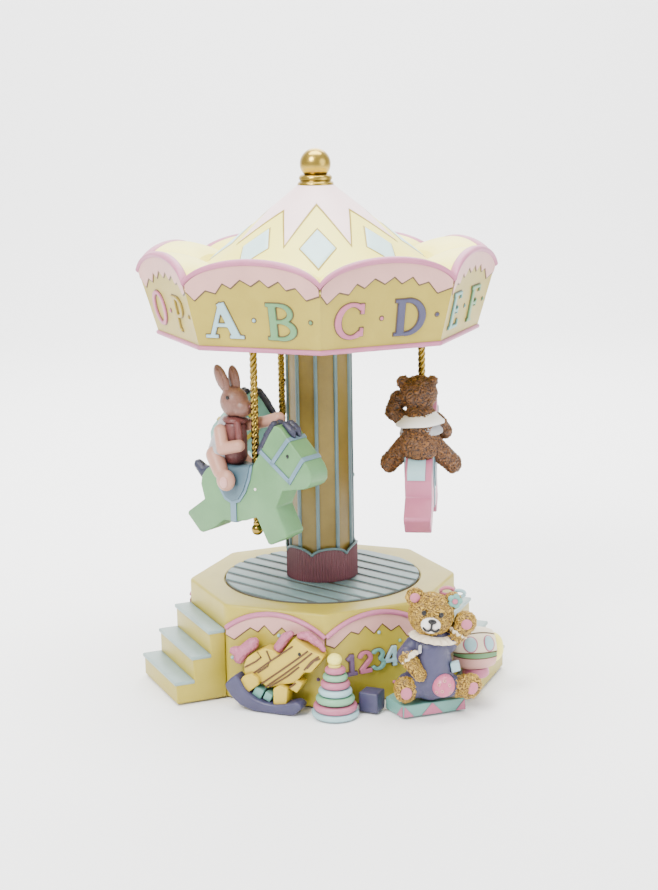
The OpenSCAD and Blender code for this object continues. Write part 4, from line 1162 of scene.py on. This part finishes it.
def puppy():
    f = Figure("puppy", "carousel", at_pole(2))
    parts = [ball((-10.5, 0, 135.2), (7.4, 7.2, 7.2)), ball((-6.0, 0, 132.6), (4.0, 4.3, 3.4)),
             limb((-15.5, 0, 114.4), (-12, 0, 125.6), 8.0, 6.4),
             limb((-24, 0, 111.5), (-27.6, 0, 116), 1.6, 1.3),
             limb((-12, -6.4, 124.4), (-8, -9.2, 118.4), 3.1, 3.0),
             limb((-8, -9.2, 118.4), (-4.2, -6.0, 118.4), 2.9, 2.8),
             limb((-12, 6.4, 124.4), (-8, 8.6, 120), 3.1, 3.0),
             limb((-8, 8.6, 120), (-4.2, 5.4, 122.4), 2.9, 2.8)]
    for s in (-1, 1):
        parts += [limb((-16, s * 5.6, 113.4), (-10.4, s * 10.6, 105.4), 4.4, 3.6),
                  ball((-8.4, s * 11.4, 103), (4.1, 3.3, 4.4))]
    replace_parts(f.add("coat", parts, PUPPY_COAT, "puppy_resin", fur=(0.25, 1.5, 6)), "puppy_rider")
    f.add("spots", [ball((-12, -5.2, 139.6), (3.0, 2.2, 2.8)), ball((-14.5, 4.8, 137.2), (2.8, 2.6, 3.2)),
                    ball((-20.2, -4.6, 119.0), (2.9, 2.6, 3.2)),
                    ball((-9.6, 12.2, 106.6), (2.2, 2.3, 2.4)),
                    ball((-17.6, 4.4, 124.0), (2.6, 2.8, 2.8))], BLACK, "black_plastic", 0.35)
    f.add("ears", [limb((-12, s * 6.4, 139.2), (-13.6, s * 8.8, 131.0), 1.9, 2.6) for s in (-1, 1)],
          BLACK, "black_plastic")
    f.add("eyes", [ball((-4.6, s * 3.2, 137.6), 0.9) for s in (-1, 1)]
          + [ball((-2.6, 0, 133.8), (0.9, 1.3, 1.0))], BLACK, "black_plastic", 0.25, 1)
    f.add("scarf", [ball((-11.6, 0, 128.4), (6.9, 6.8, 1.9))], TEAL, "teal_resin", fur=(0.2, 2.6, 2))


# ---------- toys in front of the plinth ----------

def teddy():
    f = Figure("teddy", "base")
    lean = rotation(8, "Y")
    seat = node_high("bear_plinth").z
    head = [ball((47.2, -71, 46.8), (10.2, 9.6, 9.9), lean), ball((46.6, -77.6, 44.6), (5.0, 3.6, 4.4)),
            ball((40.0, -71.5, 55.2), (4.2, 3.0, 4.2)), ball((56.8, -71, 52.8), (3.9, 3.0, 3.9))]
    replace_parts(f.add("head", head, FUR_GOLD, "golden_fur_resin", 0.3, 2, (0.95, 1.3, 2)), "teddy_bear")
    paws = [limb((57.0, -71, 35.4), (61.6, -71.6, 41.4), 3.8, 4.6),
            ball((62.4, -72.2, 43.0), (5.0, 4.2, 5.2)),
            limb((36.2, -77.4, 28.8), (41.4, -80.2, 21.6), 3.7, 2.8),
            ball((35.2, -77.2, 13.9), (5.2, 3.7, 6.1)),
            limb((37.6, -71.0, 13.4), (35.4, -75.0, 13.8), 5.2, 5.2),
            ball((64.2, -73.4, 13.4), (5.2, 3.8, 6.0), rotation(28, "Y")),
            limb((57.4, -71.6, 12.8), (63.4, -72.6, 13.4), 4.6, 5.0)]
    f.add("paws", paws, FUR_GOLD, "golden_fur_resin", 0.3, 2, (0.9, 1.3, 5))
    pads = [ball((39.9, -74.1, 55.4), (2.4, 0.9, 2.3)), ball((56.9, -73.6, 53.0), (2.1, 0.9, 2.1)),
            ball((62.6, -76.2, 43.2), (2.5, 0.9, 2.4)), ball((35.3, -80.7, 13.2), (2.6, 0.8, 3.0)),
            ball((65.2, -77.0, 13.6), (2.3, 0.8, 3.1), rotation(28, "Y"))]
    f.add("pads", pads, PAD, "pink_resin", 0.28, 2)
    f.add("muzzle", [ball((46.4, -79.4, 44.5), (4.5, 2.6, 4.0), lean)], WHITE, "white_plastic", 0.3, 3)
    face = [ball((46.9, -82.0, 46.6), (2.0, 0.9, 1.2), lean), ball((43.4, -80.2, 50.2), (1.15, 0.8, 1.2)),
            ball((51.0, -79.9, 49.0), (1.15, 0.8, 1.2))]
    mouth = [(46.8, -82.2, 46.2), (46.5, -82.3, 44.6), (46.3, -82.1, 43.2)]
    smile = [(43.0, -81.1, 43.6), (43.9, -81.6, 42.5), (45.2, -82.0, 42.4), (46.3, -82.1, 43.1),
             (47.6, -82.0, 42.1), (48.9, -81.6, 42.0), (49.8, -81.0, 42.7)]
    face += [limb(a, b, 0.52) for line in (mouth, smile) for a, b in zip(line, line[1:])]
    f.add("face", face, BLACK, "black_plastic", 0.22, 1)
    suit = [limb((46.6, -70, 17.5), (46.8, -70.4, 30.5), 10.9, 8.8),
            limb((47, -70.4, 30.5), (48.6, -70.6, 35), 8.8, 6.4),
            limb((39.4, -71.4, 32.6), (35.4, -74.4, 28.6), 4.3, 4.2),
            limb((35.4, -74.4, 28.6), (36.0, -76.4, 29.4), 4.0, 3.9),
            limb((54.6, -71, 32.4), (57.4, -71.2, 36.6), 4.0, 3.7),
            limb((41.6, -72, 15.0), (37.0, -73.6, 14.6), 6.8, 6.0),
            limb((51.6, -71.6, 14.0), (56.6, -71.8, 13.2), 6.2, 5.0)]
    f.add("overalls", suit, NAVY, "navy_resin", 0.4, 5, (0.12, 5.0, 7))
    neck = frill((48.2, -71.8, 37.2), (6.0, 5.8), (10.5, 8.6), -1.1, 1.0, 17, rotation(9, "Y"), 0.75)
    cuff_turn = aimed((-0.55, 0.3, 0.78))
    cuff = frill((37.0, -77.0, 29.6), (3.2, 3.2), (4.7, 4.7), -1.1, 0.9, 11, cuff_turn, 0.4, 0.5)
    wrist_turn = aimed((-0.6, 0, -0.8))
    wrist = frill((58.4, -71.2, 37.8), (3.2, 3.2), (4.9, 4.9), -1.1, 0.9, 11, wrist_turn, 0.4, 0.5)
    finish_mesh("teddy_collar", join([neck, cuff, wrist]), CREAM, "base", 60)
    strap = [limb((41.8, -77.8, 34.0), (41.5, -78.9, 31.8), 0.85)]
    f.add("strap", strap, GREY_WHITE, "white_plastic", 0.3)
    bow = [sweep([Vector((c[0] + 2.9 * math.cos(t), c[1], c[2] + 1.6 * math.sin(t)))
                  for t in np.linspace(0, 2 * math.pi, 28)[:-1]], 0.85, closed=True)
           for c in ((54.6, -68.0, 56.4), (59.6, -68.0, 55.0))]
    finish_mesh("teddy_bow_loops", bow[0], PAD, "base", 60)
    finish_mesh("teddy_bow_loop_blue", bow[1], SKY, "base", 60)
    f.add("trouser_cuff",
          [prism([(55.9, 20.6), (60.0, 21.6), (59.2, 26.0), (55.2, 25.0)], -1.6, 1.6, bevel=0.3,
                 place=Matrix(((1, 0, 0, 0), (0, 0, -1, -74.6), (0, 1, 0, 0), (0, 0, 0, 1))))], SKY,
          "aqua_resin", 0.3)
    petals = [ball((57.6 + 2.1 * math.cos(t), -73.8, 53.4 + 2.1 * math.sin(t)), (1.5, 1.0, 1.5))
              for t in np.arange(0, 2 * math.pi, 1.2566)]
    f.add("flower", petals, TEAL, "aqua_resin", 0.3, 2)
    f.add("flower_heart", [ball((57.6, -74.6, 53.4), (1.3, 0.9, 1.3))], PAD, "pink_resin", 0.25, 1)

    centre = (node_low("toy_ball") + node_high("toy_ball")) / 2
    r = (node_high("toy_ball") - node_low("toy_ball")).x / 2
    toy = finish_mesh("toy_ball_cast", modelled([ball(centre, r, detail=4)], 0.4, 2), PINK_BALL, "base",
                      80)
    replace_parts(toy, "toy_ball")
    rings = []
    for lon, lat in ((-25, 20), (5, 38), (30, 15), (-8, -12), (35, -25), (-38, -20)):
        out = Vector((math.sin(rad(lon)) * math.cos(rad(lat)), -math.cos(rad(lon)) * math.cos(rad(lat)),
                      math.sin(rad(lat))))
        side = out.cross(Vector((0, 0, 1))).normalized()
        up = side.cross(out)
        rings.append(sweep([centre + out * (r + 0.02) + (side * math.cos(t) + up * math.sin(t)) * 0.6
                            for t in np.linspace(0, 2 * math.pi, 17)[:-1]], 0.2, 8, True))
    finish_mesh("toy_ball_rings", join(rings), BLUSH, "base", 60)

    base_points = [(34, -78.5), (63, -68.9), (54, -51.5), (37, -51.5), (26.8, -65.7)]
    slab = finish_mesh("bear_plinth_slab", prism(base_points, 0.8, seat, bevel=0.45), TEAL, "base",
                       35)
    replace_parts(slab, "bear_plinth")
    marks = []
    tall = seat - 0.8
    half_mark = 5.0
    for a, b, mids in (((34, -78.5), (63, -68.9), (0.0, 0.46, 1.0)),
                       ((26.8, -65.7), (34, -78.5), (1.0,))):
        a, b = Vector(a), Vector(b)
        d = (b - a).normalized()
        length = (b - a).length
        side = Matrix(((d.x, 0, d.y, a.x), (d.y, 0, -d.x, a.y), (0, 1, 0, 0.8), (0, 0, 0, 1)))
        for share in mids:
            mid = length * share
            left, right = max(0.35, mid - half_mark), min(length - 0.35, mid + half_mark)
            points = [(left, 0.3), (right, 0.3)]
            if right > mid + 0.5:
                points.append((max(mid, 0.35) + 0.3, tall - 0.35))
            if left < mid - 0.5:
                points.append((min(mid, length - 0.35) - 0.3, tall - 0.35))
            marks.append(prism(points, -0.3, 0.3, place=side))
    finish_mesh("bear_plinth_triangles", join(marks), PINK, "base", 35)


def rocking_horse():
    place = face_frame(TOY_FACE, PLINTH_APOTHEM)
    inner, outer = 1.6, 9.6
    trunk = [(12.7, 35.6), (15.7, 33.8), (21, 30.6), (25.6, 29.2), (26.3, 28.2), (25.7, 26.6),
             (20.9, 20.5), (17, 20), (14.3, 16.1), (12.6, 14.6), (-0.7, 10.9), (-4.4, 13.6), (-12, 16.1),
             (-12.2, 20.1), (-10.6, 24), (-7.2, 26.7), (-1.5, 29.6), (1.9, 29), (5.6, 26.7)]
    parts = [prism(trunk, inner, outer - 1.0, place=place, bevel=0.8)]
    parts.append(prism([(3.0, 11.6), (6.2, 13.6), (10.1, 12.2), (9.4, 3.6), (3.0, 3.4)], inner + 2,
                       outer + 1.4, place=place, bevel=0.7))
    parts.append(prism([(-11.7, 15.9), (-7.5, 17.6), (-4.4, 15.6), (-3.9, 12.8), (-10.3, 7.6),
                        (-14.4, 12.3)], inner + 2, outer + 1.4, place=place, bevel=0.7))
    parts.append(prism([(14.0, 16.4), (16.8, 15.0), (14.0, 10.2), (9.8, 12.0)], inner + 1, outer - 0.4,
                       place=place, bevel=0.6))
    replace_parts(finish_mesh("rocking_horse_slats", join(parts), TOY_WOOD, "base", 35),
                "rocking_horse")

    def line(points, z=outer - 0.9, w=0.4):
        return sweep([place @ Vector((x, y, z)) for x, y in points], w, 8)
    lines = [line([(-3.5, 12.6), (6, 19.8), (14, 26), (19.6, 30.6)]),
             line([(-1.6, 11.2), (7.6, 18.2), (16, 25), (21.6, 29.9)]),
             line([(0.4, 11.6), (9.4, 17.6), (15.2, 22.6)]),
             line([(-7.8, 16.8), (-0.5, 22.6), (6.2, 27.6), (12.2, 32.0)]),
             line([(-11.6, 19.6), (-6.2, 22.8), (-3.4, 25.2), (-5.2, 27.6)]),
             line([(-5.2, 17.6), (-0.2, 21.4), (1.2, 24.2), (-0.6, 28.6)]),
             line([(19.0, 22.4), (22.4, 26.2), (25.4, 27.6)]),
             line([(17.6, 21.4), (21.0, 25.6), (24.8, 28.6)]),
             line([(10.6, 12.6), (13.6, 15.0)], outer - 0.3)]
    finish_mesh("rocking_horse_lines", join(lines), BROWN_LINE, "base", 60)
    finish_mesh("rocking_horse_eye", placed(ball((15.4, 28.6, outer - 1), (0.8, 0.9, 0.5)), place), BLACK,
                "base", 60)
    hair = [limb((3.6, 28.8, 4.6), (7.2, 34.4, 4.6), 2.3, 2.2),
            limb((7.2, 34.4, 4.6), (9.6, 36.4, 4.6), 2.2, 1.5),
            limb((14.4, 36.0, 4.6), (18.2, 36.4, 4.6), 1.6, 2.0),
            limb((18.2, 36.4, 4.6), (23.4, 33.2, 4.8), 2.0, 1.7),
            limb((23.4, 33.2, 4.8), (25.8, 30.6, 5.0), 1.5, 1.0),
            limb((-9.4, 29.6, 4.8), (-14.6, 25.2, 5.0), 2.9, 2.8),
            limb((-14.6, 25.2, 5.0), (-18.6, 25.6, 5.0), 2.8, 1.9),
            limb((-14.6, 24.4, 5.0), (-16.0, 22.0, 5.0), 2.8, 2.4),
            limb((-9.4, 29.6, 4.8), (-8.0, 31.0, 4.8), 2.6, 1.8)]
    mesh = placed(curls(modelled(hair, 0.36, 3), 0.5, 1.9, 3), place)
    finish_mesh("rocking_horse_hair", mesh, PINK, "base", 80)
    bow = [(-14.6, 16.6), (-17.6, 14.6), (-20.4, 11.6), (-19.8, 9.6), (-17.6, 6.4), (-13, 2.4), (-6, 0.3),
           (2, 0.1), (9, 0.1), (13.5, 0.5), (17.4, 4.2), (16.8, 6.0), (14.5, 6.9), (9, 5.2), (4, 4.4),
           (-1, 4.8), (-5, 6.0), (-8.6, 8.4), (-11, 11), (-12.6, 14)]
    rocker = prism(bow, 4.6, 12.4, place=place, bevel=1.0)
    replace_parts(finish_mesh("rocker_bow_cast", rocker, NAVY, "base", 40), "rocker_bow")
    cubes = [prism([(c + w * math.cos(t), h + w * math.sin(t))
                    for t in np.arange(0.35, 6.6, math.pi / 2)], 3.0, 9.8, place=place, bevel=0.5)
             for c, h, w in ((-5.0, 8.4, 3.3), (-0.2, 6.9, 2.7))]
    finish_mesh("rocker_blocks", join(cubes), TEAL, "base", 40)


def ring_toy():
    x, y = 3.8, -71.2
    rings = [(10.7, 2.0, 1.5, SKY), (9.9, 5.0, 1.7, PINK), (8.8, 8.5, 1.8, MINT), (7.6, 12.0, 1.7, SKY),
             (6.6, 15.4, 1.7, PINK), (5.6, 18.7, 1.6, MINT), (4.7, 21.8, 1.55, PINK)]
    groups = {}
    for r, z, h, paint in rings:
        arc = [(r - h + h * math.cos(t), z + h * math.sin(t)) for t in np.linspace(rad(-90), rad(90), 14)]
        mesh = turned([(0.4, z - h)] + arc + [(0.4, z + h)], 72, Vector((x, y, 0)),
                      Vector((0.012, -0.03 * (r > 9), 1)).normalized())
        groups.setdefault(paint.name, (paint, []))[1].append(mesh)
    for name, (paint, meshes) in groups.items():
        finish_mesh("ring_stack_" + name, join(meshes), paint, "base", 60)
    knob = [(0.02, 22), (2.6, 22.6), (2.9, 24.0)]
    knob += [(0.2 + 3.1 * math.cos(t), 26.6 + 2.7 * math.sin(t))
             for t in np.linspace(rad(-55), rad(88), 18)]
    knob.append((0.02, 29.3))
    cap = finish_mesh("ring_stack_knob", turned(knob, 48, Vector((x, y, 0))), PALE_YELLOW, "base",
                      60)
    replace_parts(cap, "ring_stack")
    side = 9.2
    turn = Matrix.Translation((22.6, -72.6, 0.8)) @ rotation(64, "Z")
    cube = [(0, 0), (side, 0), (side * 0.98, side), (0.2, side)]
    block = finish_mesh("toy_block_cast", prism(cube, 0, side, place=turn, bevel=0.7), NAVY, "base",
                        40)
    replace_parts(block, "toy_block")


def airship():
    """Fat toy airship that lies across the corner of the plinth and the steps."""
    at, r, turn = Vector((69, -53, 24.4)), 9.8, rad(10)
    nose = Vector((math.cos(turn), math.sin(turn), 0))
    frame_m = Matrix((nose, Vector((-nose.y, nose.x, 0)), Vector((0, 0, 1)))).transposed().to_4x4()
    frame_m.translation = at

    def hull_r(x):
        return r * math.sqrt(max(0.0, 1 - (x / 13.2) ** 2)) ** 0.85

    def skin(x, angle, lift=0.0):
        """Angle 0 faces the front; 90 is the top."""
        q = hull_r(x) + lift
        return frame_m @ Vector((x, -q * math.cos(rad(angle)), q * math.sin(rad(angle))))
    profile = [(0.02, -12.6)] + [(hull_r(x), x) for x in np.linspace(-12.5, 7.8, 40)]
    profile += [(5.0, 8.2), (0.02, 8.2)]
    body = turned(profile, 96, at, nose)
    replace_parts(finish_mesh("airship_body", body, CREAM, "base", 50), "toy_airship")
    cap = [(0.02, 7.0), (6.6, 7.0)] + [(6.9 * math.cos(t) ** 0.8, 7.6 + 5.2 * math.sin(t))
                                       for t in np.linspace(0, rad(88), 20)]
    cap.append((0.02, 12.8))
    finish_mesh("airship_nose_cap", turned(cap, 64, at, nose), PALE_YELLOW, "base", 50)
    length = np.linspace(-11.8, 7.6, 50)
    stripes = []
    for angle in (4, -12, 62):
        path = [skin(x, angle, 0.02) for x in length]
        stripes.append(sweep(path, 0.33, 8))
    finish_mesh("airship_lines", join(stripes), OUTLINE, "base", 60)
    band = grid([[skin(x, a, h) for a, h in ((3, -0.2), (3, 0.16), (-4, 0.18), (-11, 0.16), (-11, -0.2))]
                 for x in length], closed_columns=False)
    finish_mesh("airship_band", band, SAGE, "base", 50)
    low = grid([[skin(x, a, h) for a, h in [(-13, -0.2), (-13, 0.1)] + [(-13 - 5 * k, 0.12)
            for k in range(1, 14)] + [(-79, -0.2)]] for x in length], closed_columns=False)
    finish_mesh("airship_keel", low, BLUSH, "base", 50)
    panes, rims = [], []
    for x, wide in ((-4.7, 2.9), (4.1, 2.3)):
        for grow, lift, into in ((0.0, 0.5, panes), (0.45, 0.25, rims)):
            rows = []
            for t in around(28):
                rows.append([skin(x + (wide + grow) * s * math.cos(t),
                                  30 + (22 + grow * 6) * s * math.sin(t), h)
                             for s, h in ((0.02, lift), (0.5, lift), (0.9, lift * 0.9), (1.0, 0.0),
                                          (1.0, -0.3))])
            into.append(grid(rows, closed_rows=False))
    finish_mesh("airship_windows", join(panes), SKY, "base", 60)
    finish_mesh("airship_window_rims", join(rims), PAD, "base", 60)
    tread = node_low("toy_airship").z
    skid = [(0.02, tread), (5.6, tread), (6.2, tread + 0.8), (6.2, tread + 2.4), (5.4, tread + 4.2),
            (0.02, tread + 4.6)]
    finish_mesh("airship_skid", turned(skid, 64, Vector((at.x, at.y, 0))), PINK, "base", 50)


# ---------- camera, lights, floor ----------

def studio():
    yaw, pitch, roll = rad(1.02), rad(-11.84), rad(-0.95)
    ahead = Vector((math.sin(yaw) * math.cos(pitch), math.cos(yaw) * math.cos(pitch), math.sin(pitch)))
    level_right = Vector((math.cos(yaw), -math.sin(yaw), 0))
    level_up = level_right.cross(ahead)
    right = math.cos(roll) * level_right + math.sin(roll) * level_up
    up = -math.sin(roll) * level_right + math.cos(roll) * level_up
    turn = Matrix((right, up, -ahead)).transposed().to_4x4()
    data = bpy.data.cameras.new("camera")
    data.lens = 69.7
    data.sensor_width = 36
    data.clip_start = 0.01
    camera = linked("camera", data)
    camera.matrix_world = Matrix.Translation(Vector((-10.15, -806.22, 278.85)) * MM) @ turn
    bpy.context.scene.camera = camera

    def area(name, place, aim, size, power, colour):
        light = bpy.data.lights.new(name, "AREA")
        light.shape = "DISK"
        light.size = size
        light.energy = power
        light.color = colour
        obj = linked(name, light)
        obj.location = place
        obj.rotation_euler = (Vector(aim) - Vector(place)).to_track_quat("-Z", "Y").to_euler()

    centre = (0, 0, 0.11)
    area("key", (-0.55, -0.80, 0.95), centre, 0.55, 24.0, (1.0, 0.985, 0.96))
    area("fill", (0.9, -0.6, 0.45), centre, 0.9, 7.0, (0.97, 0.98, 1.0))
    area("back", (0.1, 0.75, 0.9), centre, 0.8, 9.0, (1.0, 1.0, 1.0))
    area("backdrop_wash", (0, 0.25, 1.5), (0, 1.6, 0.5), 1.4, 75.0, (1.0, 1.0, 1.0))
    world = bpy.data.worlds.new("studio")
    world.use_nodes = True
    world.node_tree.nodes["Background"].inputs["Color"].default_value = (1, 1, 1, 1)
    world.node_tree.nodes["Background"].inputs["Strength"].default_value = 1.05
    bpy.context.scene.world = world

    floor_mat = bpy.data.materials.new("floor_sweep")
    floor_mat.use_nodes = True
    shader = floor_mat.node_tree.nodes["Principled BSDF"]
    shader.inputs["Base Color"].default_value = (0.97, 0.97, 0.97, 1)
    shader.inputs["Roughness"].default_value = 0.8
    shader.inputs["Specular IOR Level"].default_value = 0.1
    side, wall_at, wall_top, bend = 3000, 1700, 2600, 600
    profile = [(-side, 0), (wall_at - bend, 0)]
    profile += [(wall_at - bend + bend * math.sin(t), bend - bend * math.cos(t))
                for t in np.linspace(0.1, math.pi / 2, 14)]
    profile.append((wall_at, wall_top))
    mesh = grid([[Vector((x, y, z)) for y, z in profile] for x in (-side, side)], closed_columns=False,
                closed_rows=False)
    for poly in mesh.polygons:
        poly.use_smooth = True
    mesh.materials.append(floor_mat)
    floor = linked("floor", mesh)
    floor.location.z = -0.0002


# ---------- mechanism: CAD shapes with better materials ----------

def mechanism():
    steel = metal("movement_steel", (0.56, 0.56, 0.55), rough=0.34, dark=(0.08, 0.08, 0.08))
    spring = metal("spring_steel_metal", (0.38, 0.40, 0.44), rough=0.25, dark=(0.05, 0.05, 0.06))
    brass = metal("movement_brass", (0.72, 0.52, 0.22), rough=0.3, dark=(0.10, 0.06, 0.02))
    zinc = metal("cast_zinc", (0.45, 0.45, 0.46), rough=0.5, dark=(0.1, 0.1, 0.1))
    plastic = painted("black_plastic_shell", (0.025, 0.025, 0.027), rough=0.35, mottle=0.15, bump=0.3)
    white = painted("white_plastic_fly", (0.75, 0.75, 0.72), rough=0.35, mottle=0.04)
    felt = painted("felt_green", (0.03, 0.07, 0.03), rough=0.95, mottle=0.3, bump=1.0)
    wood = painted("plug_wood", (0.50, 0.33, 0.17), rough=0.6, mottle=0.25, bump=0.5)
    looks = {"steel": steel, "spring_steel": spring, "brass": brass, "zinc": zinc,
             "black_plastic": plastic, "white_plastic": white, "green_felt": felt, "wood": wood,
             "cream_resin": YELLOW}
    slots = {row["node"]: row["material_slot"] for row in frame["record"]["subparts"]}
    for name, obj in frame["nodes"].items():
        look = looks.get(slots[name])
        if look and obj.type == "MESH":
            for slot in obj.material_slots:
                slot.material = look
            if not obj.material_slots:
                obj.data.materials.append(look)


studio()
mechanism()
canopy()
frieze_borders()
frieze_letters()
cone_pattern()
finial()
plinth()
steps()
deck()
column()
poles()
horse(0, "green_horse", SAGE, SADDLE, STRAP, MANE)
horse(1, "pink_horse", PINK, SADDLE, SKY, SKY, patch=SKY)
horse(2, "teal_horse", TEAL, SADDLE, FIELD, MANE)
rabbit()
bear_rider()
puppy()
teddy()
rocking_horse()
ring_toy()
airship()
